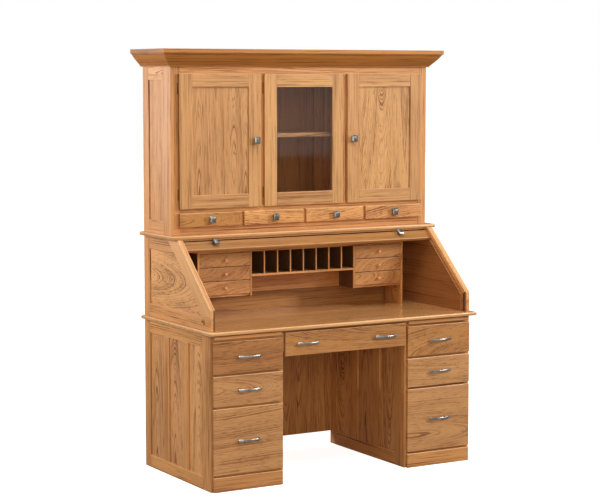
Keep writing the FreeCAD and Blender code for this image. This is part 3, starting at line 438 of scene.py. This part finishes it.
# Desk top: one wide glued-up oak board, varnished to a soft gloss, with a rounded nose on its front and
# ends. It is screwed down on both pedestals from below.
# Paler than the other oak, partly a painted sheen for the light on the desk top and the ledge.
polished_painted_sheen_oak = wood("polished_painted_sheen_oak", (0.75, 0.385, 0.148), (0.42, 0.168, 0.047),
                    ring=0.011, gloss=0.22, coat=0.8)
nose_ease = 0.0065


def nosed(corners):
    """A board with a round nose: its solid's box, with the edges rounded to nearly half the thickness."""
    ends = np.stack([corners.min(axis=0), corners.max(axis=0)])
    square = np.stack(np.meshgrid(*ends.T), axis=3).reshape(-1, 3)
    return plank(square, nose_ease, plain=True, steps=5)


show("desk_top_oak", [nosed(solids_of("desk_top")[0])], polished_painted_sheen_oak, "desk_case", ["desk_top"])

# Drawers: an oak front with rounded edges, screwed to a box of pale, plain wood. The box has grooved
# sides that hold a thin bottom, and it slides on waxed rails. The upper fronts are of a darker oak, a
# painted shade under the overhang of the desk top.
box_wood = wood("drawer_box_wood", (0.66, 0.47, 0.27), (0.50, 0.31, 0.15),
                ring=0.007, contrast=0.5, gloss=0.5, coat=0.0)
figured_oak = wood("figured_oak", (0.615, 0.308, 0.111), (0.29, 0.107, 0.024),
                   ring=0.0105, contrast=1.4, gloss=0.38, coat=0.7)
# A darker oak: a painted shade for fronts and backs that get less light.
painted_shade_deep_oak = wood("painted_shade_deep_oak", (0.525, 0.231, 0.060), (0.235, 0.074, 0.011),
                ring=0.0105, contrast=1.4, gloss=0.38, coat=0.7)
front_ease = 0.004
front_taper = 0.075
stave_to_height = 1.1
box_ease = 0.001


def drawer(body, ease=front_ease, plain=None, trim=0.0, kind=figured_oak):
    """A drawer's front and its box, as two pieces. The front is the board that reaches farthest forward.

    It is of one stave in its own kind of wood, and is trimmed at the top and the bottom to leave a gap.
    """
    solids = [corners for corners in solids_of(body) if len(corners) == 8]
    solids.sort(key=lambda corners: corners[:, 1].min())
    height = np.ptp(solids[0][:, 2])
    middle = solids[0][:, 2].mean()
    solids[0][:, 2] -= np.sign(solids[0][:, 2] - middle) * trim
    stave = stave_to_height * height
    front = plank(solids[0], ease, steps=3, plain=plain, stave=stave, taper=front_taper)
    show(body + "_front", [front], kind, body, [body])
    box = [plank(corners, box_ease, plain=False) for corners in solids[1:]]
    show(body + "_box", box, box_wood, body, [])


drawer_places = [(side, tier) for side in ("left", "right") for tier in ("top", "middle", "bottom")]
for side, tier in drawer_places:
    drawer(side + "_" + tier + "_drawer", kind=painted_shade_deep_oak if tier == "top" else figured_oak)
drawer("centre_drawer", kind=painted_shade_deep_oak)

# Writing boards: a flat leaf that pulls out above each pedestal's drawers, with a rounded lip glued
# along its front edge to pull it by.
lip_depth = 0.05
for side in ("left", "right"):
    node = side + "_writing_board"
    parts = []
    for corners in solids_of(node):
        lip = np.ptp(corners[:, 1]) < lip_depth
        parts.append(plank(corners, front_ease if lip else frame_ease))
    show(node + "_oak", parts, oak, node, [node])

# Bar pulls: cast pewter, brushed, and duller in clouds. A bar bows away from the drawer on two
# posts with spread feet, and broadens to a rounded tip past each post. Screws hold it from inside the
# drawer.


def turned(rows, foot, axis, across, around=32):
    """Sections along an axis: each row gives the distance out, half width, half height and squareness.

    A section is the curve whose two coordinates are the cosine and the sine raised to two over the
    squareness, so 2 is an ellipse and a large number nearly a rectangle.
    """
    rows, foot, axis, across = (np.array(value, float) for value in (rows, foot, axis, across))
    up = np.cross(axis, across)
    angle = np.linspace(0, 2 * np.pi, around, endpoint=False)
    power = 2 / rows[:, 3:4]
    wide = rows[:, 1:2] * np.sign(np.cos(angle)) * np.abs(np.cos(angle)) ** power
    tall = rows[:, 2:3] * np.sign(np.sin(angle)) * np.abs(np.sin(angle)) ** power
    points = foot + rows[:, 0, None, None] * axis + wide[:, :, None] * across + tall[:, :, None] * up
    return {"points": points.reshape(-1, 3), "faces": grid_faces(len(rows), around)}


def even_rows(*rows):
    """Sections as wide as high: rows give the distance out, half width and, unless round, squareness."""
    return [(row[0], row[1], row[1], row[2] if len(row) > 2 else 2) for row in rows]


def bar(low, high, stations=57, around=20):
    """The bar of a pull: a flat oval section carried across in a parabola, broader towards its tips.

    The section broadens smoothly from 30 to 80 % of the way out, and closes as a quarter circle over the
    last 4 %. Its corners are a little squarer than an ellipse's.
    """
    waist, broadening = 0.41, 0.08
    bar_half, bar_thinner = 0.0034, 0.0004
    bow_start, bow_depth = 0.0036, 0.0118
    roundness = 0.8
    half, tall = (high[0] - low[0]) / 2, high[2] - low[2]
    along = np.sin(np.linspace(-np.pi / 2, np.pi / 2, stations) * 0.995)
    tip = np.sqrt(np.clip(1 - ((np.abs(along) - 0.96) / 0.04).clip(0) ** 2, 0, 1)) + 0.02
    broad = np.clip((np.abs(along) - 0.3) / 0.5, 0, 1)
    broad = broad * broad * (3 - 2 * broad)
    rise = tip * tall * (waist + broadening * broad)
    deep = tip * (bar_half - bar_thinner * broad)
    bow = low[1] + bow_start + bow_depth * along ** 2
    angle = np.linspace(0, 2 * np.pi, around, endpoint=False)
    wide = np.sign(np.cos(angle)) * np.abs(np.cos(angle)) ** roundness
    up = np.sign(np.sin(angle)) * np.abs(np.sin(angle)) ** roundness
    middle = (low + high) / 2
    points = np.empty((stations, around, 3))
    points[:, :, 0] = middle[0] + half * along[:, None]
    points[:, :, 1] = bow[:, None] + deep[:, None] * wide
    points[:, :, 2] = middle[2] + rise[:, None] * up
    return {"points": points.reshape(-1, 3), "faces": grid_faces(stations, around)}


def metal(name, bright, dull, rough, brush):
    """A worn metal: brighter in some clouds and duller in others, with fine brush lines."""
    material = bpy.data.materials.new(name)
    material.use_nodes = True
    tree = material.node_tree
    shader = tree.nodes["Principled BSDF"]
    place = add(tree, "TexCoord").outputs["Object"]
    clouds = add(tree, "TexNoise", Vector=place, Scale=40.0, Detail=4.0, Roughness=0.6).outputs[0]
    lines = add(tree, "VectorMath", {"operation": "MULTIPLY"}, i0=place, i1=brush).outputs[0]
    lines = add(tree, "TexNoise", Vector=lines, Scale=1.0, Detail=2.0).outputs[0]
    share = add(tree, "MapRange", Value=clouds, From_Min=0.35, From_Max=0.7).outputs[0]
    tree.links.new(mixed(tree, share, (*bright, 1), (*dull, 1)), shader.inputs["Base Color"])
    tree.links.new(sums(tree, "MULTIPLY_ADD", lines, 0.22, rough - 0.06), shader.inputs["Roughness"])
    bump = add(tree, "Bump", Strength=0.12, Distance=0.0002, Height=lines)
    tree.links.new(bump.outputs[0], shader.inputs["Normal"])
    shader.inputs["Metallic"].default_value = 1.0
    return material


pewter = metal("brushed_pewter", (0.56, 0.55, 0.53), (0.18, 0.17, 0.16), 0.27, (60, 900, 900))
post_rows = even_rows((0, 0.0066), (0.0015, 0.0068), (0.003, 0.0056), (0.006, 0.0045), (0.010, 0.0043),
                      (0.0130, 0.005)) + [(0.016, 0.0052, 0.005, 2)]
post_spread = 0.048
pulls = [("%s_%s_drawer_pull" % place, "%s_%s_drawer" % place) for place in drawer_places]
pulls.append(("centre_drawer_pulls", "centre_drawer"))
for node, body in pulls:
    parts = []
    for corners in solids_of(node):
        low, high = corners.min(axis=0), corners.max(axis=0)
        parts.append(bar(low, high))
        for way in (-1, 1):
            foot = ((low[0] + high[0]) / 2 + way * post_spread, high[1], (low[2] + high[2]) / 2)
            parts.append(turned(post_rows, foot, (0, -1, 0), (1, 0, 0)))
    show(node + "_pewter", parts, pewter, body, [node])

# Roll sides: an oak frame with a flat panel, dowelled to the desk top. Its slanted stile is of paler
# oak, a painted sheen along the slant. Inside it a track board and two lip strips leave a groove between
# them for the curtain: a pale one on the slant, a painted highlight where it faces up to the light, and
# a dark one at the front.
outline = outline_of(solids_of("lift_rail")[0][:, 1:])
run = np.roll(outline, -1, axis=0) - outline
slant = run[np.argmax(np.linalg.norm(run, axis=1))]
slant = slant / np.linalg.norm(slant) * np.sign(slant[0])
roll_ease = 0.0025
lip_ease = 0.002
lip_gap = 0.0015
strip_thick = 0.01
roll_panel_taper = 0.075
pale_painted_sheen_oak = wood("pale_painted_sheen_oak", (0.90, 0.48, 0.19), (0.50, 0.21, 0.06), gloss=0.35, coat=0.3)
lip_oak = wood("dark_lip_oak", (0.16, 0.06, 0.018), (0.09, 0.03, 0.008), gloss=0.45, coat=0.0)
for side in ("left", "right"):
    node = side + "_roll_side"
    framing, slanted, panels, track = [], [], [], []
    lips = {}
    for corners in solids_of(node):
        outline = outline_of(corners[:, 1:])
        run = np.roll(outline, -1, axis=0) - outline
        longest = run[np.argmax(np.linalg.norm(run, axis=1))]
        sloping = abs(longest @ slant) > 0.99 * np.linalg.norm(longest)
        panel = np.ptp(corners[:, 0]) < panel_thick
        tilt = slant if sloping and not panel else None
        if panel:
            board = plank(corners, panel_ease, plain=True, stave=panel_stave, taper=roll_panel_taper)
            panels.append(board)
        elif len(corners) == 8 and panel_thick < np.ptp(corners[:, 0]) < strip_thick:
            joint = np.abs(corners[:, 0]).max()
            corners[:, 0] -= np.sign(corners[:, 0]) * lip_gap * (np.abs(corners[:, 0]) > joint - 1e-4)
            lips[sloping] = plank(corners, lip_ease, slant=tilt)
        else:
            kind = track if np.ptp(corners[:, 0]) < strip_thick else slanted if sloping else framing
            kind.append(plank(corners, roll_ease, plain=False, slant=tilt))
    show(node + "_oak", framing, oak, "desk_case", [node])
    show(node + "_panel", panels, arched_oak, "desk_case", [])
    # The track boards take the darker inner oak, partly a painted shade inside the roll.
    show(node + "_track", track, inner_oak, "desk_case", [])
    show(node + "_slant", slanted, pale_painted_sheen_oak, "desk_case", [])
    show(node + "_lip", [lips[True]], pale_painted_sheen_oak, "desk_case", [])
    show(node + "_front_lip", [lips[False]], lip_oak, "desk_case", [])

# Ledge: a round-nosed oak board that lies on both roll sides and carries the hutch. A narrow strip is
# glued under its front, and stiffens it over the opening.
parts = []
for corners in solids_of("ledge_board"):
    parts.append(nosed(corners) if len(corners) > 8 else plank(corners, frame_ease))
show("ledge_board_oak", parts, polished_painted_sheen_oak, "desk_case", ["ledge_board"])

# Lock: a brass barrel let into the left roll side, turned with a bevelled rim. A brass plug with a key
# slot turns in its bore.
brass = metal("worn_brass", (0.80, 0.56, 0.22), (0.50, 0.31, 0.10), 0.24, (500, 500, 500))
low, high = (np.array(corner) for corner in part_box("lock_barrel"))
rim = (high[2] - low[2]) / 2
foot = (high[0], (low[1] + high[1]) / 2, (low[2] + high[2]) / 2)
length = high[0] - low[0]
bore = 0.00506
barrel = 0.008
collar = length - 0.005
barrel_rows = even_rows((0, bore), (0, barrel), (collar, barrel), (collar, rim), (length - 0.002, rim),
                        (length - 0.0006, rim - 0.0012), (length, rim - 0.0032),
                        (length - 0.0006, rim - 0.0056), (length - 0.0014, bore + 0.001),
                        (length - 0.0014, bore))
plug_rows = even_rows((0, 0.0046), (0.0005, 0.005), (length - 0.0006, 0.005), (length - 0.0002, 0.0046))
slot_rows = [(length - 0.0002, 0.001, 0.0037, 3), (length - 0.0005, 0.0008, 0.0035, 6),
             (length - 0.006, 0.0008, 0.0035, 6)]
for node, body, rows in (("lock_barrel", "desk_case", barrel_rows),
                         ("lock_plug", "lock_plug", plug_rows + slot_rows)):
    parts = [turned(rows, foot, (-1, 0, 0), (0, -1, 0), 48)]
    show(node + "_brass", parts, brass, body, [node])

# Organizer: a rack of pigeonholes between two stacks of drawers, all thin oak boards set in grooves. The
# dividers, lipped with oak in front, and the back behind them are dark, a painted shade for the deep
# pigeonholes, and the back below is of a darker oak, a painted shade under the stacks. The six small
# drawers have fronts of warm, figured oak and turned wooden knobs.
painted_shade_dark_oak = wood("shaded_oak", (0.12, 0.055, 0.022), (0.06, 0.025, 0.01),
                ring=0.009, contrast=0.8, gloss=0.5, coat=0.0)
lipping = 0.006
lying = 0.02
upright = 0.012
rack_ease = 0.0008
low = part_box("organizer_case")[0]
solids = solids_of("organizer_case")
flat_boards = [corners for corners in solids if np.ptp(corners[:, 2]) < lying]
widest = sorted(flat_boards, key=lambda corners: np.ptp(corners[:, 0]))[-2:]
shelf = min(corners[:, 2].min() for corners in widest)
last = max(corners[:, 0].max() for corners in solids if np.ptp(corners[:, 0]) < upright)
parts, painted_shade_parts, backs = [], [], []
for corners in solids:
    size = np.ptp(corners, axis=0)
    foot = corners[:, 2].min() - low[2]
    # Above the shelf the back, and each divider behind its lip, are painted dark for the shade in the
    # pigeonholes; the back below takes the darker oak, a painted shade under the stacks.
    if size[1] < panel_thick and foot > panel_thick:
        lower, upper = corners.copy(), corners.copy()
        lower[:, 2] = np.minimum(lower[:, 2], shelf)
        upper[:, 2] = np.maximum(upper[:, 2], shelf)
        backs.append(plank(lower, panel_ease))
        painted_shade_parts.append(plank(upper, panel_ease))
    elif size[0] < upright and corners[:, 0].max() < last - 1e-4:
        line = corners[:, 1].min() + lipping
        lip, web = corners.copy(), corners.copy()
        lip[:, 1] = np.minimum(lip[:, 1], line)
        web[:, 1] = np.maximum(web[:, 1], line)
        parts.append(plank(lip, panel_ease))
        painted_shade_parts.append(plank(web, panel_ease))
    elif size[1] < panel_thick:
        backs.append(plank(corners, rack_ease))
    else:
        parts.append(plank(corners, rack_ease))
show("organizer_case_oak", parts, oak, "desk_case", ["organizer_case"])
show("organizer_case_webs", painted_shade_parts, painted_shade_dark_oak, "desk_case", [])
show("organizer_case_back", backs, painted_shade_deep_oak, "desk_case", [])
knob_wood = wood("turned_knob_wood", (0.86, 0.43, 0.23), (0.50, 0.20, 0.09),
                 ring=0.006, contrast=0.8, gloss=0.35, coat=0.15)
small_knob_rows = even_rows((0, 0.0052), (0.0012, 0.0052), (0.0022, 0.0042), (0.006, 0.004),
                            (0.0078, 0.0052), (0.0092, 0.0072), (0.0112, 0.008), (0.0132, 0.0078),
                            (0.0152, 0.0064), (0.0164, 0.0044), (0.0169, 0.002))
warm_oak = wood("warm_oak", (0.588, 0.278, 0.086), (0.28, 0.097, 0.019),
                ring=0.0105, contrast=1.4, gloss=0.38, coat=0.7)
small_ease = 0.002
small_gap = 0.001
knob_stave = 0.1
for side, tier in drawer_places:
    body = side + "_organizer_" + tier + "_drawer"
    drawer(body, small_ease, plain=True, trim=small_gap, kind=warm_oak)
    corners = max(solids_of(body), key=len)
    low, high = corners.min(axis=0), corners.max(axis=0)
    foot = ((low[0] + high[0]) / 2, high[1], (low[2] + high[2]) / 2)
    knob = turned(small_knob_rows, foot, (0, -1, 0), (1, 0, 0))
    knob["log"], knob["board"] = in_log(knob["points"], 1, 0, False, knob_stave)
    knob["edge"] = np.zeros(len(knob["points"]))
    show(body + "_knob", [knob], knob_wood, body, [])

# Curtain: bevelled oak slats glued to canvas, stored flat under the ledge with a tail behind. A thicker
# oak lift rail is the last slat, and lies on the slant.
canvas = bpy.data.materials.new("curtain_canvas")
canvas.use_nodes = True
tree = canvas.node_tree
place = add(tree, "TexCoord").outputs["Object"]
threads = []
for way in ("X", "Y"):
    wave = add(tree, "TexWave", {"bands_direction": way}, Vector=place, Scale=180.0, Distortion=1.0)
    threads.append(wave.outputs["Fac"])
weave = sums(tree, "MULTIPLY", *threads)
thread_colour = mixed(tree, weave, (0.24, 0.17, 0.10, 1), (0.42, 0.32, 0.20, 1))
bump = add(tree, "Bump", Strength=0.4, Distance=0.0004, Height=weave)
shader = tree.nodes["Principled BSDF"]
tree.links.new(thread_colour, shader.inputs["Base Color"])
tree.links.new(bump.outputs[0], shader.inputs["Normal"])
shader.inputs["Roughness"].default_value = 0.9
slat_ease = 0.0012
canvas_ease = 0.0002
for node in ("roll_curtain", "roll_curtain_tail", "roll_curtain_lower_slat"):
    solids = solids_of(node)
    slats = [plank(corners, slat_ease, plain=False) for corners in solids if len(corners) > 8]
    show(node + "_slats", slats, oak, node, [node])
    cloth = [plank(corners, canvas_ease) for corners in solids if len(corners) == 8]
    show(node + "_canvas", cloth, canvas, node, [])
# The lift rail's oak is darker than the rest, a painted shade under the ledge.
painted_shade_rail_oak = wood("lift_rail_oak", (0.42, 0.18, 0.048), (0.14, 0.045, 0.009),
                ring=0.0105, contrast=1.6, gloss=0.36, coat=0.2)
rail_ease = 0.004
lift_rail = plank(solids_of("lift_rail")[0], rail_ease, plain=False, steps=4)
show("lift_rail_oak", [lift_rail], painted_shade_rail_oak, "lift_rail", ["lift_rail"])

# Square knobs: cast heads of darker pewter with four broad bevels round a flat face, on a round stem with
# a small collar. They are screwed on from behind.
dark_pewter = metal("dark_pewter", (0.38, 0.385, 0.39), (0.12, 0.12, 0.12), 0.27, (60, 900, 900))
knob_half = 0.017
knob_rows = even_rows((0, 0.0082), (0.001, 0.0084), (0.0022, 0.0068), (0.0045, 0.0058), (0.0095, 0.006),
                      (0.0122, 0.0092, 3), (0.0132, 0.0156, 9), (0.0138, 0.0167, 12),
                      (0.0146, knob_half, 14), (0.0186, knob_half, 14), (0.0191, 0.0166, 14),
                      (0.0226, 0.0088, 12), (0.0229, 0.0078, 10), (0.0229, 0.001, 4))


def square_knobs(node, body, outward):
    """Knobs on the places of their CAD solids: the foot is the solid's innermost face."""
    outward = np.array(outward, float)
    parts = []
    for corners in solids_of(node):
        reach = corners @ outward
        face = corners[reach < reach.min() + 1e-5].mean(axis=0)
        parts.append(turned(knob_rows, face, outward, (1, 0, 0), 48))
    return show(node + "_pewter", parts, dark_pewter, body, [node])


square_knobs("lift_rail_knobs", "lift_rail", (0, -slant[1], slant[0]))

# Hutch case: framed oak sides like those of the pedestals, a face frame glued to their front, and decks,
# partitions and shelves let into grooves.
deck_ease = 0.001
for node, ease in (("hutch_sides", frame_ease), ("hutch_face_frame", frame_ease),
                   ("hutch_decks_and_shelves", deck_ease)):
    parts = []
    for corners in solids_of(node):
        thin = np.ptp(corners, axis=0).min() < panel_thick
        parts.append(plank(corners, panel_ease if thin else ease))
    show(node + "_oak", parts, oak, "desk_case", [node])

# Door hinges: turned bronze knuckles in three lengths with a narrow groove between them, let into the
# face frame at the hinged edge of each door.
knuckle, groove = 0.003, 0.0026
hinge_rows = even_rows((0, 0.0012), (0.0006, 0.0024), (0.002, knuckle), (0.019, knuckle),
                       (0.0192, groove), (0.0196, groove), (0.0198, knuckle), (0.0352, knuckle),
                       (0.0354, groove), (0.0358, groove), (0.036, knuckle), (0.053, knuckle),
                       (0.0544, 0.0024), (0.055, 0.0012))
parts = []
for corners in solids_of("door_hinges"):
    low, high = corners.min(axis=0), corners.max(axis=0)
    foot = ((low[0] + high[0]) / 2, (low[1] + high[1]) / 2, low[2])
    parts.append(turned(hinge_rows, foot, (0, 0, 1), (1, 0, 0), 24))
bronze = metal("dull_bronze", (0.26, 0.16, 0.08), (0.13, 0.075, 0.035), 0.42, (500, 500, 500))
show("door_hinges_bronze", parts, bronze, "desk_case", ["door_hinges"])

# Doors: oak frames with mortised corners, two with flat panels and the middle one with a glass pane. The
# rear corner of each hinged stile is cut back for the knuckles.
# The doors' oak is paler and less saturated than the case's: partly its own tone, and partly a painted
# sheen from the lamp at the right.
door_oak = wood("door_oak", (0.64, 0.333, 0.126), (0.25, 0.092, 0.019),
                ring=0.0065, contrast=1.5, spread=1.6)
hinge_cut = 0.005
door_ease = 0.002
for name, hinged in (("left", -1), ("centre", -1), ("right", 1)):
    body = name + "_door"
    parts = []
    for corners in solids_of(body):
        low, high = corners.min(axis=0), corners.max(axis=0)
        if len(corners) > 8:
            outline = np.array([low[:2], (high[0], low[1]), high[:2], (low[0], high[1])])
            edge = high[0] if hinged > 0 else low[0]
            cut = np.array([(edge, high[1] - hinge_cut), (edge - hinged * hinge_cut, high[1])])
            keep = outline[~((outline[:, 0] == edge) & (outline[:, 1] == high[1]))]
            section = outline_of(np.concatenate([keep, cut]))
            parts.append(plank(corners, door_ease, outline=section, axis=2))
        else:
            thin = np.ptp(corners, axis=0).min() < panel_thick
            parts.append(plank(corners, panel_ease if thin else door_ease))
    show(body + "_oak", parts, door_oak, body, [body])
    if name != "centre":
        square_knobs(body + "_knob", body, (0, -1, 0))

# Pane: one sheet of clear glass, a little smeared by wiping. It is set in the frame of the middle door
# as the panels are in the other two.
pane_ease = 0.0004
glass = bpy.data.materials.new("door_glass")
glass.use_nodes = True
tree = glass.node_tree
shader = tree.nodes["Principled BSDF"]
place = add(tree, "TexCoord").outputs["Object"]
smears = add(tree, "TexNoise", Vector=place, Scale=6.0, Detail=3.0).outputs[0]
tree.links.new(sums(tree, "MULTIPLY_ADD", smears, 0.05, 0.0), shader.inputs["Roughness"])
shader.inputs["Base Color"].default_value = (0.88, 0.88, 0.87, 1)
shader.inputs["Transmission Weight"].default_value = 1.0
shader.inputs["IOR"].default_value = 1.45
pane = plank(solids_of("centre_door_glass")[0], pane_ease)
show("centre_door_pane", [pane], glass, "centre_door", ["centre_door_glass"])

# Hutch drawers: a row of four shallow drawers under the doors, made as the others are, with a square
# knob each. The first front is of darker oak than the other three, a painted shade at the left end of the
# row, farthest from the lamp at the right.
for number in (1, 2, 3, 4):
    body = "hutch_drawer_%d" % number
    drawer(body, plain=True, kind=painted_shade_deep_oak if number == 1 else oak)
    square_knobs(body + "_knob", body, (0, -1, 0))

# Crown: an oak moulding mitred at the two front corners. From a narrow foot its face swells and slopes
# out to a step and an upright band.
low, high = (np.array(corner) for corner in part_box("crown_moulding"))
sides_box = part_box("hutch_sides")
frame_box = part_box("hutch_face_frame")
case_half = (sides_box[1].x - sides_box[0].x) / 2
case_front = frame_box[0].y
rear = high[1]
project = (high[0] - low[0]) / 2 - case_half
tall = high[2] - low[2]
foot_out, sweep_out = 0.012, 0.047
foot_up, sweep_up = 0.004, 0.057
share = np.linspace(0, 1, 13)
swell = 0.10 * np.sin(np.pi * share) * (1 - share) - 0.03 * np.sin(2 * np.pi * share)
sweep = np.stack([foot_out + sweep_out * (share + swell), foot_up + sweep_up * share], axis=1)
crown_foot = [(0, 0), (0.0105, 0), (0.0118, 0.0006), (foot_out, 0.002)]
crown_step = [(0.0605, 0.0615), (0.061, 0.0638), (0.0648, 0.0645), (project, 0.066)]
crown_band = [(project, tall - 0.0022), (project - 0.0006, tall - 0.0006), (project - 0.0022, tall),
              (0, tall)]
out, up = np.concatenate([crown_foot, sweep, crown_step, crown_band]).T
crown_stave = 0.2


def crown_run(start, end, grain):
    """One length of the moulding: the closed face carried straight from one cut end to the other."""
    points = np.concatenate([start, end])
    log, board = in_log(points, grain, 2, False, crown_stave)
    edge = np.zeros(len(log))
    return {"points": points, "faces": grid_faces(2, len(out)), "log": log, "board": board, "edge": edge}


height = low[2] + up
mitre, square = {}, {}
for way in (-1, 1):
    mitre[way] = np.stack([way * (case_half + out), case_front - out, height], axis=1)
    square[way] = np.stack([way * (case_half + out), np.full(len(out), rear), height], axis=1)
parts = [crown_run(mitre[-1], mitre[1], 0)]
parts.append(crown_run(square[-1], mitre[-1], 1))
parts.append(crown_run(mitre[1], square[1], 1))
# The crown's oak is darker and more saturated than the rest: a painted shade for a face that slopes down,
# away from the light.
crown_painted_shade_oak = wood("crown_painted_shade_oak", (0.48, 0.187, 0.029), (0.24, 0.076, 0.010),
                 ring=0.012, contrast=1.2, gloss=0.5, coat=0.0)
show("crown_moulding_oak", parts, crown_painted_shade_oak, "desk_case", ["crown_moulding"])

# Stage: a white floor and background with a little warm light all round. Soft lamps stand at the upper
# right in front, overhead and at the left behind the hutch, and a warm one stands low in front.
span = 30.0
floor_mesh = bpy.data.meshes.new("floor")
floor_corners = [(-span, -span, 0), (span, -span, 0), (span, span, 0), (-span, span, 0)]
floor_mesh.from_pydata(floor_corners, [], [(0, 1, 2, 3)])
floor = bpy.data.objects.new("floor", floor_mesh)
bpy.context.scene.collection.objects.link(floor)
paint = bpy.data.materials.new("floor_paint")
paint.use_nodes = True
tree = paint.node_tree
shader = tree.nodes["Principled BSDF"]
shader.inputs["Roughness"].default_value = 0.9
shader.inputs["Specular IOR Level"].default_value = 0.0
shader.inputs["Emission Color"].default_value = (1, 1, 1, 1)
seen = add(tree, "LightPath").outputs["Is Camera Ray"]
place = add(tree, "TexCoord").outputs["Object"]
specks = add(tree, "TexNoise", Vector=place, Scale=40.0, Detail=2.0).outputs[0]
pale = mixed(tree, specks, (0.78, 0.78, 0.78, 1), (0.82, 0.82, 0.82, 1))
tree.links.new(mixed(tree, seen, (0.42, 0.38, 0.34, 1), pale), shader.inputs["Base Color"])
away = add(tree, "VectorMath", {"operation": "LENGTH"}, i0=place).outputs["Value"]
away = add(tree, "MapRange", Value=away, From_Min=1.2, From_Max=4.5, To_Min=0.88, To_Max=1.0).outputs[0]
tree.links.new(sums(tree, "MULTIPLY", away, seen), shader.inputs["Emission Strength"])
floor_mesh.materials.append(paint)
floor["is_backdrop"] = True

world = bpy.data.worlds.new("studio")
bpy.context.scene.world = world
world.use_nodes = True
tree = world.node_tree
path = add(tree, "LightPath").outputs
seen = sums(tree, "MAXIMUM", path["Is Camera Ray"], path["Is Transmission Ray"])
background = tree.nodes["Background"]
tree.links.new(mixed(tree, seen, (1, 0.9, 0.78, 1), (1, 1, 1, 1)), background.inputs["Color"])
seen = sums(tree, "MAXIMUM", seen, sums(tree, "MULTIPLY", path["Is Glossy Ray"], 0.08))
tree.links.new(sums(tree, "MULTIPLY_ADD", seen, 0.85, 0.15), background.inputs["Strength"])


def lamp(name, place, target, size, watts, colour=(1, 1, 1)):
    """A square soft lamp that looks at a point."""
    light = bpy.data.lights.new(name, "AREA")
    light.size = size
    light.energy = watts
    light.color = colour
    holder = bpy.data.objects.new(name, light)
    bpy.context.scene.collection.objects.link(holder)
    holder.location = place
    way = np.array(target, float) - np.array(place, float)
    flat = math.hypot(way[0], way[1])
    holder.rotation_euler = (math.atan2(flat, -way[2]), 0, math.atan2(-way[0], way[1]))
    return holder


lamp("key_lamp", (6.1, -5.5, 4.2), (0, 0, 1.3), 1.8, 385)
lamp("top_lamp", (-0.2, -1.7, 4.5), (0, -0.2, 0.8), 2.2, 90)
lamp("front_lamp", (-2.4, -6.0, 2.2), (0, 0, 0.8), 2.5, 105, (1, 0.87, 0.72))
lamp("left_lamp", (-2.9, 1.75, 2.0), (-0.7, 0, 2.4), 1.4, 87)

camera = bpy.data.cameras.new("camera")
camera.sensor_width = 36.0
camera.lens = 107.04
camera.clip_end = 200
holder = bpy.data.objects.new("camera", camera)
bpy.context.scene.collection.objects.link(holder)
holder.location = (-4.4989, -7.64295, 1.9472)
holder.rotation_euler = (math.radians(84.42), 0, math.radians(-30.15))
bpy.context.scene.camera = holder
bpy.context.scene.view_settings.view_transform = "Standard"

size = {"cad": [list(corner) for corner in cad_box], "visual": [list(corner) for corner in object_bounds()]}
